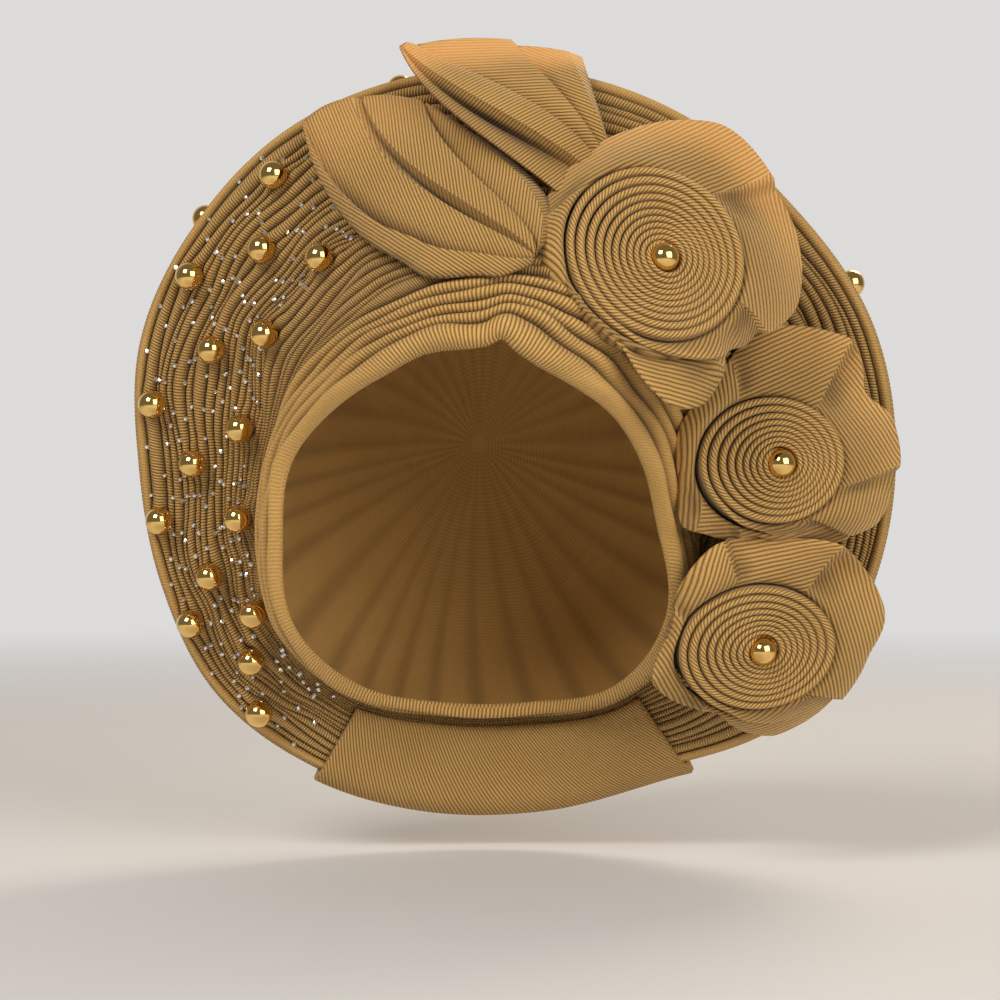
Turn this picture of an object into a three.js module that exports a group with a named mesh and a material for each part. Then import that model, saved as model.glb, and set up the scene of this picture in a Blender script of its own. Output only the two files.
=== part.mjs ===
// A tied head tie of ribbed cloth, kept in the form in which it is worn: a folded band round the face,
// a ring-shaped brim of fine pleats, a crown cap over the back of the head, a binding at the nape,
// two gathered leaves, three rolled rosettes and round metal-coloured beads.
//
// Millimetres, +Z up. The wearer faces -Y, so their left hand is at +X and +Y is behind them.
// The origin is the middle of the head hollow, level with the brows.
import * as THREE from "three";

// Driving dimensions.
const BEAD_DIAMETER = 10;
const CLOTH_GAP = 0.6; // kept between neighbouring pieces
const BRIM_PLEATS = 16;
const PLEAT_CREST = 2.0;
const PLEAT_VALLEY = 0.5;
const BRIM_BACK = -1.3; // the back of the brim, below the pleats
const BRIM_START = 0.04; // the share of the brim's width where its first pleat starts
const BAND_FOLDS = 4;
const FOLD_CREST = 3.2;
const FOLD_VALLEY = 1.2;
const BAND_BACK = -1.0;
const ROOT_GAP = 2.2; // between the band and the brim
const CAP_WALL = 2.0;
const BINDING_WALL = 2.0;
const LEAF_WALL = 1.6;
const STRIP_WALL = 1.5; // the rosette strip, folded double

// How finely the cloth is divided.
const RING_STEPS = 48;
const CAP_STEPS = 7;
const CAP_AROUND = RING_STEPS / 2;
const BRIM_BACK_STEPS = 3;
const BAND_BACK_STEPS = 2;
const COIL_STEPS_A_TURN = 12;
const PETAL_STEPS_A_TURN = 24;
const BEAD_SEGMENTS = [10, 8];

// The axis of the ring runs along Y through this point.
const RING_AXIS = { x: 6, z: 0 };

// One row for each radial section round the head, an equal step of angle apart, from the wearer's left.
// The band runs from edge to root. The brim leaves at the root, turns outwards and ends at the rim.
// R columns are radii from the ring's axis, and Y columns are depths.
const SECTION_COLUMNS = ["edgeR", "edgeY", "rootR", "rootY", "turnR", "turnY", "rimR", "rimY"];
const SECTIONS = [
  [53.6, -51, 73.2, -15, 84, -2, 147.3, 5], // 0 degrees
  [45.6, -68, 70.6, -33, 83, -9, 147.3, 0], // 20 degrees
  [38.5, -81, 66.5, -55, 82, -30, 142.7, -7], // 40 degrees
  [35.5, -89, 64, -72, 83, -46, 141.6, -12], // 60 degrees
  [37.6, -92, 61.2, -79, 83, -52, 139.8, -18], // 80 degrees
  [37.3, -91, 59.6, -75, 81, -50, 138.5, -17], // 100 degrees
  [40.7, -85, 60.4, -64, 80, -40, 137.9, -11], // 120 degrees
  [44.5, -77, 65, -46, 79, -22, 135.4, -1], // 140 degrees
  [54.5, -60, 70.4, -26, 81, -2, 133.2, 9], // 160 degrees
  [68, -38, 76.2, -10, 85, 8, 126.8, 16], // 180 degrees
  [76.6, -27, 85.3, -2, 92, 14, 127.1, 22], // 200 degrees
  [90, -12, 95.5, 9, 100, 24, 130.8, 30], // 220 degrees
  [94, 18, 98, 35, 101, 39, 129.8, 42], // 240 degrees
  [91, 40, 95, 53, 98, 54, 128.4, 55], // 260 degrees
  [91, 42, 95, 55, 98, 56, 128.2, 57], // 280 degrees
  [94, 15, 98, 33, 101, 37, 130.5, 42], // 300 degrees
  [84, -15, 92, 6, 97, 13, 143.7, 18], // 320 degrees
  [64, -32, 78.2, -4, 88, 4, 146, 9], // 340 degrees
];
const SECTION_STEP = 360 / SECTIONS.length;

// The peak in the face edge above the forehead.
const EDGE_NOTCH = { angle: 82, rise: 2.5, spread: 5 };

// The crown cap leaves the brim's back at a share of the brim's width and closes at the back of the head.
const CAP = {
  sideShare: 0.28,
  topShare: 0.4,
  gap: 2, // kept behind the brim
  middle: { x: 2, z: 2 },
  apex: new THREE.Vector3(2, 106, 10),
  bulge: 20, // extra height over the top of the head
};

// The binding lies over the gathered pleats at the nape, round the rim and up their back.
// Shares are of the brim's width, and brimWidth is that width at the nape.
const BINDING = {
  fromAngle: 241,
  toAngle: 304,
  frontShares: [0.3, 0.5, 0.75, 0.98],
  backShares: [0.98, 0.75, 0.55],
  brimWidth: 30,
  steps: 9,
};

// Beads on the pleats: where each sits by angle and by its share of the brim's width.
const FRONT_BEADS = [
  { angle: 125.5, share: 0.868 },
  { angle: 146.7, share: 0.89 },
  { angle: 134.9, share: 0.702 },
  { angle: 127.1, share: 0.47 },
  { angle: 156, share: 0.675 },
  { angle: 147.6, share: 0.442 },
  { angle: 169, share: 0.902 },
  { angle: 170.6, share: 0.355 },
  { angle: 179, share: 0.689 },
  { angle: 189.2, share: 0.904 },
  { angle: 192.6, share: 0.204 },
  { angle: 201.4, share: 0.637 },
  { angle: 213, share: 0.1 },
  { angle: 207.6, share: 0.885 },
  { angle: 218.9, share: 0.574 },
  { angle: 226.4, share: 0.86 },
];
const BACK_BEADS = [
  { angle: 139.3, share: 1.02 },
  { angle: 103.1, share: 1.02 },
  { angle: 26.2, share: 1.02 },
];

// Leaves: each side runs from the gathered base to an outer corner along a Bezier curve, and the hem bows.
// Points are x, y, z. Folds is how many pleats run from the base, and crest how high they stand.
const LEAVES = [
  {
    name: "leaf_lower",
    lowSide: [[19, -81, 65.2], [-10, -85, 54], [-48.5, -47, 71], [-58.4, -26, 119.5]],
    highSide: [[24, -64, 83], [12.5, -56, 98], [1, -43, 114], [-12, -29, 123]],
    hemBow: 7,
    folds: 3,
    crest: 2.6,
  },
  {
    name: "leaf_upper",
    lowSide: [[30.1, -73, 89.9], [7.5, -68, 107.8], [-14.8, -52, 120.3], [-24, -34, 144.7]],
    highSide: [[45.4, -55, 111.2], [44, -46, 120.9], [42, -36, 131.2], [39.5, -26, 142.3]],
    hemBow: 6,
    folds: 3,
    crest: 2.4,
  },
];
const LEAF_STEPS = { along: 7, acrossEachFold: 4 };
const LEAF_GATHER = 0.3; // the share of a leaf's length over which its folds rise

// Rosettes: a strip folded double, wound into a coil whose last turns open into petals.
// Middle is where the bead sits, and faces is the way that the coil looks.
// Squash is the coil's height against its width.
// The strip is deeper on its outer side by slant, along bearing.
// Reach gives the petal edge's radius in twelve directions, from the wearer's left round over the top,
// and drop how far that edge falls back.
const ROSETTES = [
  {
    name: "top",
    middle: [65.6, -67, 68.2],
    faces: [0.27, -0.9, 0.32],
    turns: 11,
    coilRadius: 29.5,
    squash: 1.03,
    strip: { depth: 11, slant: 0.35, bearing: 50 },
    reach: [58, 58, 62, 60, 53, 45, 43, 37, 39, 54, 46, 56],
    drop: 7,
  },
  {
    name: "middle",
    middle: [107.8, -38, 0],
    faces: [0.2, -0.98, 0],
    turns: 7,
    coilRadius: 24.2,
    squash: 0.84,
    strip: { depth: 22.5, slant: 0.35, bearing: 0 },
    reach: [46, 44.5, 53, 49, 43.5, 36, 34.5, 35, 27.5, 26.5, 30, 42],
    drop: 9,
  },
  {
    name: "bottom",
    middle: [102.6, -26, -65.4],
    faces: [0.2, -0.95, -0.22],
    turns: 7,
    coilRadius: 26.5,
    squash: 0.78,
    strip: { depth: 19.5, slant: 0.3, bearing: -20 },
    reach: [44, 51, 48, 36, 35, 28, 32, 34, 29, 33, 36, 38],
    drop: 6,
  },
];
const ROSETTE_EYE = BEAD_DIAMETER / 2 + CLOTH_GAP; // the open middle that the bead sits in
const PETAL_TURNS = 1.75;
const PETALS_OPEN_BY = 0.75; // turns of petals after which the strip is fully open
const INNER_PETALS = 0.9; // how far the inner layer reaches against the outer
const PETAL_SETBACK = 4; // how steeply the drop grows from the inner layer to the outer

const CLOTH = { color: 0xb78d48, roughness: 0.8, metalness: 0 };
const BEAD_PLATING = { color: 0xd9b45a, roughness: 0.15, metalness: 1 };

const { degToRad, lerp, smoothstep } = THREE.MathUtils;

// A smooth closed curve through equally spaced values, read at a place counted in steps.
function aroundCurve(values, place) {
  const whole = Math.floor(place);
  const t = place - whole;
  const at = (k) => values[(((whole + k) % values.length) + values.length) % values.length];
  const bend = at(2) - 3 * at(1) + 3 * at(0) - at(-1);
  const slope = 2 * at(-1) - 5 * at(0) + 4 * at(1) - at(2);
  return at(0) + 0.5 * t * (at(1) - at(-1) + t * (slope + t * bend));
}

function sectionValue(column, angle) {
  const index = SECTION_COLUMNS.indexOf(column);
  return aroundCurve(SECTIONS.map((row) => row[index]), angle / SECTION_STEP);
}

// A point of one of the ring's lines: edge, root, turn or rim.
function ringPoint(line, angle) {
  let radius = sectionValue(line + "R", angle);
  if (line === "edge") {
    const away = (angle - EDGE_NOTCH.angle) / EDGE_NOTCH.spread;
    radius += EDGE_NOTCH.rise * Math.exp(-away * away);
  }
  const turn = degToRad(angle);
  return new THREE.Vector3(
    RING_AXIS.x + radius * Math.cos(turn),
    sectionValue(line + "Y", angle),
    RING_AXIS.z + radius * Math.sin(turn),
  );
}

// The band stops short of the brim's first pleat.
function bandSurface(angle, share) {
  const edge = ringPoint("edge", angle);
  const root = ringPoint("root", angle);
  return edge.lerp(root, share * (1 - ROOT_GAP / edge.distanceTo(root)));
}

function brimSurface(angle, share) {
  const profile = new THREE.QuadraticBezierCurve3(
    ringPoint("root", angle),
    ringPoint("turn", angle),
    ringPoint("rim", angle),
  );
  return profile.getPoint(share);
}

// The direction that a ring surface faces, outwards and towards the front.
function facing(surface, angle, share) {
  const turn = 1;
  const step = 0.02;
  const along = surface(angle + turn, share).sub(surface(angle - turn, share));
  const across = surface(angle, share + step).sub(surface(angle, share - step));
  return across.cross(along).normalize();
}

function raised(surface, angle, share, height) {
  return surface(angle, share).addScaledVector(facing(surface, angle, share), height);
}

// Turns a vertex list and triangle list into a geometry whose faces point outwards.
function closedGeometry(points, triangles) {
  let volume = 0;
  for (const [a, b, c] of triangles) {
    volume += points[a].dot(new THREE.Vector3().crossVectors(points[b], points[c]));
  }
  const outward = volume > 0 ? triangles : triangles.map(([a, b, c]) => [a, c, b]);
  const geometry = new THREE.BufferGeometry().setFromPoints(points);
  geometry.setIndex(outward.flat());
  geometry.computeVertexNormals();
  return geometry;
}

// A skin over closed sections of equal length. An open loft's ends are closed by joining
// each point of a section to its partner, counted from the section's other end.
function loft(sections, isRing) {
  const count = sections[0].length;
  const triangles = [];
  const spans = isRing ? sections.length : sections.length - 1;
  for (let s = 0; s < spans; s++) {
    const here = s * count;
    const next = ((s + 1) % sections.length) * count;
    for (let p = 0; p < count; p++) {
      const q = (p + 1) % count;
      triangles.push([here + p, here + q, next + q], [here + p, next + q, next + p]);
    }
  }
  if (!isRing) {
    const last = (sections.length - 1) * count;
    for (let p = 0; p < count / 2 - 1; p++) {
      const partner = count - 1 - p;
      triangles.push([p, partner, p + 1], [p + 1, partner, partner - 1]);
      triangles.push([last + p, last + p + 1, last + partner]);
      triangles.push([last + p + 1, last + partner - 1, last + partner]);
    }
  }
  return closedGeometry(sections.flat(), triangles);
}

// Equally spaced angles, all the way round.
function ringAngles(count) {
  return Array.from({ length: count }, (_, i) => (360 * i) / count);
}

// The heights of a row of pleats as steps across the cloth: valley, crest, valley and so on.
function pleatedProfile(pleats, crest, valley) {
  return Array.from({ length: 2 * pleats + 1 }, (_, i) => ({
    share: i / (2 * pleats),
    height: i % 2 ? crest : valley,
  }));
}

function backProfile(steps, height) {
  return Array.from({ length: steps + 1 }, (_, i) => ({ share: 1 - i / steps, height }));
}

function pleatedRing(surface, profile) {
  return loft(
    ringAngles(RING_STEPS).map((angle) => profile.map((p) => raised(surface, angle, p.share, p.height))),
    true,
  );
}

function brimGeometry() {
  const front = pleatedProfile(BRIM_PLEATS, PLEAT_CREST, PLEAT_VALLEY);
  const clear = front.map((p) => ({ ...p, share: lerp(BRIM_START, 1, p.share) }));
  return pleatedRing(brimSurface, [...clear, ...backProfile(BRIM_BACK_STEPS, BRIM_BACK)]);
}

function bandGeometry() {
  const front = pleatedProfile(BAND_FOLDS, FOLD_CREST, FOLD_VALLEY);
  return pleatedRing(bandSurface, [...front, ...backProfile(BAND_BACK_STEPS, BAND_BACK)]);
}

// A point of the crown cap: share 0 is its front edge behind the brim, and share 1 its apex.
function capSurface(angle, share) {
  const overTop = Math.max(0, Math.sin(degToRad(angle)));
  const front = raised(brimSurface, angle, lerp(CAP.sideShare, CAP.topShare, overTop), BRIM_BACK - CAP.gap);
  const swing = (share * Math.PI) / 2;
  return new THREE.Vector3(
    lerp(CAP.apex.x, front.x, Math.cos(swing)),
    lerp(front.y, CAP.apex.y, Math.sin(swing)),
    lerp(CAP.apex.z, front.z, Math.cos(swing)) + CAP.bulge * Math.sin(2 * swing) * overTop,
  );
}

// The cap's inner skin lies nearer to the head's own middle line.
function capInside(angle, share) {
  const point = capSurface(angle, share);
  const inward = new THREE.Vector3(CAP.middle.x, 0, CAP.middle.z).sub(point);
  inward.y = -point.y * Math.sin((share * Math.PI) / 2);
  return point.addScaledVector(inward.normalize(), CAP_WALL);
}

function capGeometry() {
  const around = CAP_AROUND;
  const angles = ringAngles(around);
  const skinSize = CAP_STEPS * around + 1;
  const pole = CAP_STEPS * around; // the apex comes last in each skin
  const points = [capSurface, capInside].flatMap((skin) => [
    ...Array.from({ length: pole }, (_, n) => skin(angles[n % around], Math.floor(n / around) / CAP_STEPS)),
    skin(0, 1),
  ]);
  const triangles = [];
  for (let i = 0; i < around; i++) {
    const j = (i + 1) % around;
    const skin = [];
    for (let k = 0; k < CAP_STEPS - 1; k++) {
      const low = k * around;
      const high = low + around;
      skin.push([low + i, high + j, low + j], [low + i, high + i, high + j]);
    }
    skin.push([pole - around + i, pole, pole - around + j]);
    for (const [a, b, c] of skin) {
      triangles.push([a, b, c], [skinSize + a, skinSize + c, skinSize + b]);
    }
    triangles.push([i, j, skinSize + j], [i, skinSize + j, skinSize + i]);
  }
  return closedGeometry(points, triangles);
}

function bindingGeometry() {
  const over = PLEAT_CREST + CLOTH_GAP;
  const under = BRIM_BACK - CLOTH_GAP;
  const pastRim = (wall) => 1 + (CLOTH_GAP + wall) / BINDING.brimWidth;
  const path = (wall) => [
    ...BINDING.frontShares.map((share) => ({ share, height: over + wall })),
    { share: pastRim(wall), height: over },
    { share: pastRim(wall), height: under },
    ...BINDING.backShares.map((share) => ({ share, height: under - wall })),
  ];
  const inner = path(0);
  const angles = Array.from({ length: BINDING.steps + 1 }, (_, i) =>
    lerp(BINDING.fromAngle, BINDING.toAngle, i / BINDING.steps),
  );
  const sections = path(BINDING_WALL).map((outside, i) => [
    ...angles.map((angle) => raised(brimSurface, angle, outside.share, outside.height)),
    ...angles.toReversed().map((angle) => raised(brimSurface, angle, inner[i].share, inner[i].height)),
  ]);
  return loft(sections, false);
}

function bezier(points) {
  return new THREE.CubicBezierCurve3(...points.map((p) => new THREE.Vector3(...p)));
}

// A gathered leaf: pleats fan out from the base, and the outer hem bows away from it.
function leafGeometry(leaf) {
  const low = bezier(leaf.lowSide);
  const high = bezier(leaf.highSide);
  const across = leaf.folds * LEAF_STEPS.acrossEachFold;
  const sections = Array.from({ length: LEAF_STEPS.along + 1 }, (_, k) => {
    const v = k / LEAF_STEPS.along;
    const start = low.getPoint(v);
    const end = high.getPoint(v);
    const width = end.clone().sub(start);
    const outward = low.getTangent(v).add(high.getTangent(v)).normalize();
    const front = outward.clone().cross(width).normalize();
    if (front.y > 0) front.negate();
    const skin = (offset) =>
      Array.from({ length: across + 1 }, (_, i) => {
        const u = i / across;
        const fold = leaf.crest * Math.sin(Math.PI * leaf.folds * u) ** 2 * smoothstep(v, 0, LEAF_GATHER);
        const bow = leaf.hemBow * v * v * 4 * u * (1 - u);
        return start
          .clone()
          .addScaledVector(width, u)
          .addScaledVector(front, fold + offset)
          .addScaledVector(outward, bow);
      });
    return [...skin(LEAF_WALL), ...skin(0).toReversed()];
  });
  return loft(sections, false);
}

// The wound strip of a rosette, in its own frame: X and Y across the face and Z out of it.
function rosetteGeometry({ turns, coilRadius, squash, strip, reach, drop }) {
  const stops = [];
  for (let k = 0; k < turns * COIL_STEPS_A_TURN; k++) stops.push(k / COIL_STEPS_A_TURN);
  for (let k = 0; k <= PETAL_TURNS * PETAL_STEPS_A_TURN; k++) stops.push(turns + k / PETAL_STEPS_A_TURN);
  const pitch = (coilRadius - ROSETTE_EYE) / turns;
  const sections = stops.map((turn) => {
    const swing = 2 * Math.PI * turn;
    const opened = smoothstep(turn, turns, turns + PETALS_OPEN_BY);
    const layer = lerp(INNER_PETALS, 1, smoothstep(turn, turns + PETALS_OPEN_BY, turns + PETAL_TURNS));
    const oval = 1 / Math.hypot(Math.cos(swing), Math.sin(swing) / squash);
    const baseRadius = ROSETTE_EYE + pitch * turn * oval;
    const edgeRadius = lerp(baseRadius, layer * aroundCurve(reach, (turn % 1) * reach.length), opened);
    const depth = strip.depth + strip.slant * baseRadius * Math.cos(swing - degToRad(strip.bearing));
    const base = new THREE.Vector2(baseRadius, -depth);
    const fall = drop * opened * layer ** PETAL_SETBACK * (depth / strip.depth);
    const edge = new THREE.Vector2(edgeRadius, -fall);
    const run = edge.clone().sub(base).normalize();
    const wall = new THREE.Vector2(run.y, -run.x).multiplyScalar(STRIP_WALL);
    const place = (p) => new THREE.Vector3(p.x * Math.cos(swing), p.x * Math.sin(swing), p.y);
    return [base, edge, edge.clone().add(wall), base.clone().add(wall)].map(place);
  });
  return loft(sections, false);
}

function piece(name, geometry, finish) {
  const mesh = new THREE.Mesh(geometry, new THREE.MeshStandardMaterial(finish));
  mesh.name = name;
  return mesh;
}

function bead(name) {
  return piece(name, new THREE.SphereGeometry(BEAD_DIAMETER / 2, ...BEAD_SEGMENTS), BEAD_PLATING);
}

function beadOnBrim(name, place, height) {
  const mesh = bead(name);
  mesh.position.copy(raised(brimSurface, place.angle, place.share, height));
  return mesh;
}

// A rosette's own frame stands where its coil's face is, with the bead in its eye.
function rosetteGroup(rosette) {
  const out = new THREE.Vector3(...rosette.faces).normalize();
  const side = new THREE.Vector3(0, 0, 1).cross(out).normalize();
  const rise = out.clone().cross(side);
  const group = new THREE.Group();
  group.quaternion.setFromRotationMatrix(new THREE.Matrix4().makeBasis(side, rise, out));
  group.position.set(...rosette.middle);
  group.add(piece("rosette_" + rosette.name, rosetteGeometry(rosette), CLOTH));
  group.add(bead("bead_rosette_" + rosette.name));
  return group;
}

const headTie = new THREE.Group();
headTie.add(piece("crown_cap", capGeometry(), CLOTH));
headTie.add(piece("face_band", bandGeometry(), CLOTH));
headTie.add(piece("pleated_brim", brimGeometry(), CLOTH));
headTie.add(piece("nape_binding", bindingGeometry(), CLOTH));
for (const leaf of LEAVES) headTie.add(piece(leaf.name, leafGeometry(leaf), CLOTH));
for (const rosette of ROSETTES) headTie.add(rosetteGroup(rosette));

const beadLift = BEAD_DIAMETER / 2 + CLOTH_GAP;
FRONT_BEADS.forEach((place, i) => {
  headTie.add(beadOnBrim("bead_front_" + String(i + 1).padStart(2, "0"), place, PLEAT_CREST + beadLift));
});
BACK_BEADS.forEach((place, i) => {
  headTie.add(beadOnBrim("bead_back_" + (i + 1), place, BRIM_BACK - beadLift));
});

export default headTie;
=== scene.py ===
"""Looks of a tied head tie: a brim of fine pleats, a folded face band, a crown cap, a nape binding,
gathered leaves and rolled rosettes, all of one ribbed cloth, with gold beads and small crystals."""

import math
from types import SimpleNamespace

import bpy
import numpy as np
from bpy.props import FloatProperty, FloatVectorProperty, IntProperty, PointerProperty
from bpy.types import Operator, Panel, PropertyGroup
from mathutils import Matrix, Vector


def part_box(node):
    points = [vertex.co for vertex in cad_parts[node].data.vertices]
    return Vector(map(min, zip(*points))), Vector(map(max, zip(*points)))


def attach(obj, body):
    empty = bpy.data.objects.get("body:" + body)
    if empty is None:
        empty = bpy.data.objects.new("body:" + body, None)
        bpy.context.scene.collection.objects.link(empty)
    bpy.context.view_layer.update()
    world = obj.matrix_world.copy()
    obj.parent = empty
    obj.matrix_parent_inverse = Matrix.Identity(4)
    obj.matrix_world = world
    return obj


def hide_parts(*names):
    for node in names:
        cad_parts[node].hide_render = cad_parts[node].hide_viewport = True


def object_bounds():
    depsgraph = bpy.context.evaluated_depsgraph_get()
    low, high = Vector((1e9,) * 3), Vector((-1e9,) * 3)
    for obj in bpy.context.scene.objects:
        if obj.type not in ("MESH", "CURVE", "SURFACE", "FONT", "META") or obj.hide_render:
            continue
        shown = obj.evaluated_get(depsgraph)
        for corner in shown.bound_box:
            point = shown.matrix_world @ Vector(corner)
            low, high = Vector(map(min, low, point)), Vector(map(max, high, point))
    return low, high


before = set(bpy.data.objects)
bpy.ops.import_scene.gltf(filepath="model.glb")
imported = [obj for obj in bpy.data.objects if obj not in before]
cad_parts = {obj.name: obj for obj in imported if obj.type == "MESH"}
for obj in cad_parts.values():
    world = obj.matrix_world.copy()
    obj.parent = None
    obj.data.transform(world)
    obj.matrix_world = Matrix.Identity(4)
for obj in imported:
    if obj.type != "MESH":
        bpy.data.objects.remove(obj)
CAD_LOW, CAD_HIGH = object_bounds()

bl_info = {
    "name": "Tied head tie",
    "version": (1, 0, 0),
    "blender": (4, 5, 0),
    "location": "3D View > Sidebar > Head Tie",
    "description": "Builds a pleated head tie of ribbed cloth with rosettes, beads and crystals",
    "category": "Object",
}

MM = 0.001
BODY = "root"
WEAVE_UV = "weave"
# Masks on the cloth: painted shade in folds, valleys and coils, a plainer weave, and painted light.
PAINTED_SHADE = "hollow"
PLAIN = "plain"
# Painted light where light would come through thin cloth.
GLOW = "glow"
STRIPS_APART = 10

# Ribbed cloth: scales of its noises for a metre, and how strongly each part of the weave counts.
SHAKE_SCALE, SPECK_SCALE, PATCH_SCALE = 160.0, 2100.0, 38.0
RIB_SHAKE, RIB_ROUNDING, MEAN_RIB = 0.35, 1.1, 0.8
THREAD_TWIST, THREAD_GRAIN, GRAIN_RELIEF = 2.3, 0.16, 0.28
# The groove colour paints shade between the ribs; the groove share pushes the mix towards it.
GRAIN_SHARE, RIB_SHARE, GROOVE_SHADE_SHARE = 0.55, 0.75, 0.15
PATCH_RANGE = {1: 0.3, 2: 0.7, 3: 0.0, 4: 0.3}
# How the painted shade deepens into the folds.
VALLEY_SHADE_POWER = 1.05
CLOTH_ROUGHNESS, RIB_GLOSS, CLOTH_SPECULAR = 0.8, -0.16, 0.3
PLAIN_BUMP = -0.85
SHEEN_ROUGHNESS = 0.45

# Gold, crystal and floor: scale of the clouding, and how it changes the roughness.
GOLD_CLOUDS, GOLD_CLOUD_DETAIL, GOLD_ROUGHNESS = 260.0, 3.0, (0.08, 0.04)
CRYSTAL_CLOUDS, CRYSTAL_ROUGHNESS, CRYSTAL_METALLIC = 500.0, (0.12, 0.02), 0.85
FLOOR_CLOUDS, FLOOR_CLOUD_DETAIL, FLOOR_DULL, FLOOR_ROUGHNESS = 6.0, 4.0, 0.97, 0.9
FLOOR_CORNERS, FLOOR_FADE_FROM, FLOOR_FADE_TO = 96, 0.12, 0.6
BACKDROP_FROM, BACKDROP_TO = 0.2, 0.85

# Lights: place and size in metres.
LIGHTS = {
    "key": ((-0.8, -1.15, 1.05), 0.7),
    "fill": ((0.95, -1.3, 0.55), 1.2),
    "rim": ((0.55, 0.85, 0.95), 0.6),
}
SENSOR_WIDTH = 36.0
CLIP_RANGE = (0.01, 50.0)

# The ring that carries the band and the brim, in millimetres about an axis along Y.
# One row for each equal step of angle from the wearer's left: the band runs from edge to root,
# and the brim leaves the root, turns outwards and ends at the rim.
RING_AXIS_X = 6.0
SECTION_COLUMNS = ("edge_r", "edge_y", "root_r", "root_y", "turn_r", "turn_y", "rim_r", "rim_y")
SECTIONS = np.array([
    (53.6, -51, 73.2, -15, 84, -2, 147.3, 5),
    (45.6, -68, 70.6, -33, 83, -9, 147.3, 0),
    (38.5, -81, 66.5, -55, 82, -30, 142.7, -7),
    (35.5, -89, 64, -72, 83, -46, 141.6, -12),
    (37.6, -92, 61.2, -79, 83, -52, 139.8, -18),
    (37.3, -91, 59.6, -75, 81, -50, 138.5, -17),
    (40.7, -85, 60.4, -64, 80, -40, 137.9, -11),
    (44.5, -77, 65, -46, 79, -22, 135.4, -1),
    (54.5, -60, 70.4, -26, 81, -2, 133.2, 9),
    (68, -38, 76.2, -10, 85, 8, 126.8, 16),
    (76.6, -27, 85.3, -2, 92, 14, 127.1, 22),
    (90, -12, 95.5, 9, 100, 24, 130.8, 30),
    (94, 18, 98, 35, 101, 39, 129.8, 42),
    (91, 40, 95, 53, 98, 54, 128.4, 55),
    (91, 42, 95, 55, 98, 56, 128.2, 57),
    (94, 15, 98, 33, 101, 37, 130.5, 42),
    (84, -15, 92, 6, 97, 13, 143.7, 18),
    (64, -32, 78.2, -4, 88, 4, 146, 9),
])
SECTION_STEP = 360 / len(SECTIONS)
NOTCH = {"angle": 82, "rise": 2.5, "spread": 5}

# Brim pleats. The lip closes the brim against the band, and the roll's two points round its rim,
# each given by its distance from the rim and its height.
BRIM_SECTIONS = 440
BRIM_PLEATS = 24
PLEAT_STEPS = 6
BRIM_LIP = -0.3
BRIM_BACK = -1.3
BRIM_BACK_RIPPLE = 0.45
BRIM_START = 0.015
RIM_ROLL = ((-0.9, -0.9), (-0.9, -0.2))
OUTER_PITCH = 3.3
MOST_CROWDED = 2.2
PLEAT_NOISE = (1, 2, 3, 5, 8, 13)
PLEAT_UNEVEN = 0.24
PLEAT_WIDTHS = (0.8, 1.25)
PLEAT_PINCHES = 2
PINCH_SPREAD = (4, 9)
PINCH_BY = 0.65
RIM_PLEAT = 1.25
RIM_PLAIN = 0.7
PLEAT_ROUNDNESS = 0.78
PLEAT_LOWEST = 0.3
PLEAT_HIGHEST = 3.2
PLEAT_LEAN = 0.14
PLEAT_RIB_SHIFT = 100
BRIM_SEED = 7

# Face band folds, as shares of the band's width from the face edge outwards. The first is narrower at
# the sides of the face, and the tuck is how far the band runs on under the brim.
BAND_SECTIONS = 420
BAND_FOLD_SHARES = (0.31, 0.2, 0.18, 0.16, 0.15)
BAND_STEPS = 8
BAND_FRONT = 0.4
BAND_BACK = -1.0
BAND_BACK_STEPS = 7
BAND_ROUNDNESS = 0.72
BAND_FOLD_POWER = 0.9
BAND_RISES = (0.8, 4.2)
BAND_RISE_UNEVEN = 0.1
BAND_RISE_NOISE = (5, 9, 14)
BAND_TUCK = 0.06
BAND_TURN = 5
BAND_SIDE_NARROWING = 0.45
BAND_NARROW_FROM, BAND_PLAIN_FROM, BAND_UPRIGHT = 0.3, 0.45, 0.9
BAND_PLAIN = 0.75
BAND_UNEVEN = 0.13
BAND_NOISE = (1, 2, 4, 7, 11)
BAND_LEAN = 0.12
BAND_SEED = 11

# Crown cap.
CAP_SIDE_SHARE = 0.28
CAP_TOP_SHARE = 0.4
CAP_SINK = 0.5
CAP_APEX = (2.0, 106.0, 10.0)
CAP_MIDDLE = (2.0, 0.0, 5.0)
CAP_TIP = (0, 0.4, 0)
CAP_WALL = 1.6
CAP_BULGE = 20.0
CAP_AROUND = 240
CAP_STEPS = 44
CAP_GATHERS = 34
CAP_GATHER_FADE = 0.8
CAP_GATHER_FROM, CAP_GATHER_TO = -0.2, 0.15
CAP_NOISE = (2, 3, 5, 7)
CAP_WANDER = 1.4
CAP_TWIST = 2.2
CAP_SHADE = 0.5
CAP_PLAIN = 0.8
CAP_SEED = 5

# Nape binding.
BINDING_FROM, BINDING_TO = 241, 304
BINDING_STEPS = 64
BINDING_OVER = 2.6
BINDING_GAP = 0.6
BINDING_WALL = 1.8
BINDING_BRIM_WIDTH = 30
BINDING_FRONT, BINDING_TURN, BINDING_RIM, BINDING_BACK = 0.3, 0.94, 0.985, 0.55
BINDING_FRONT_STEPS, BINDING_BACK_STEPS = 9, 6
BINDING_HEM_DIP, BINDING_HEM_FADE = 0.9, 22
BINDING_SLACK, BINDING_WAVES = 0.5, 9
BINDING_TURN_DROPS, BINDING_ROUNDING = (0.2, 1.4, 1.0, 0.1), 0.6
BINDING_RIB_TILT = -30

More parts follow.
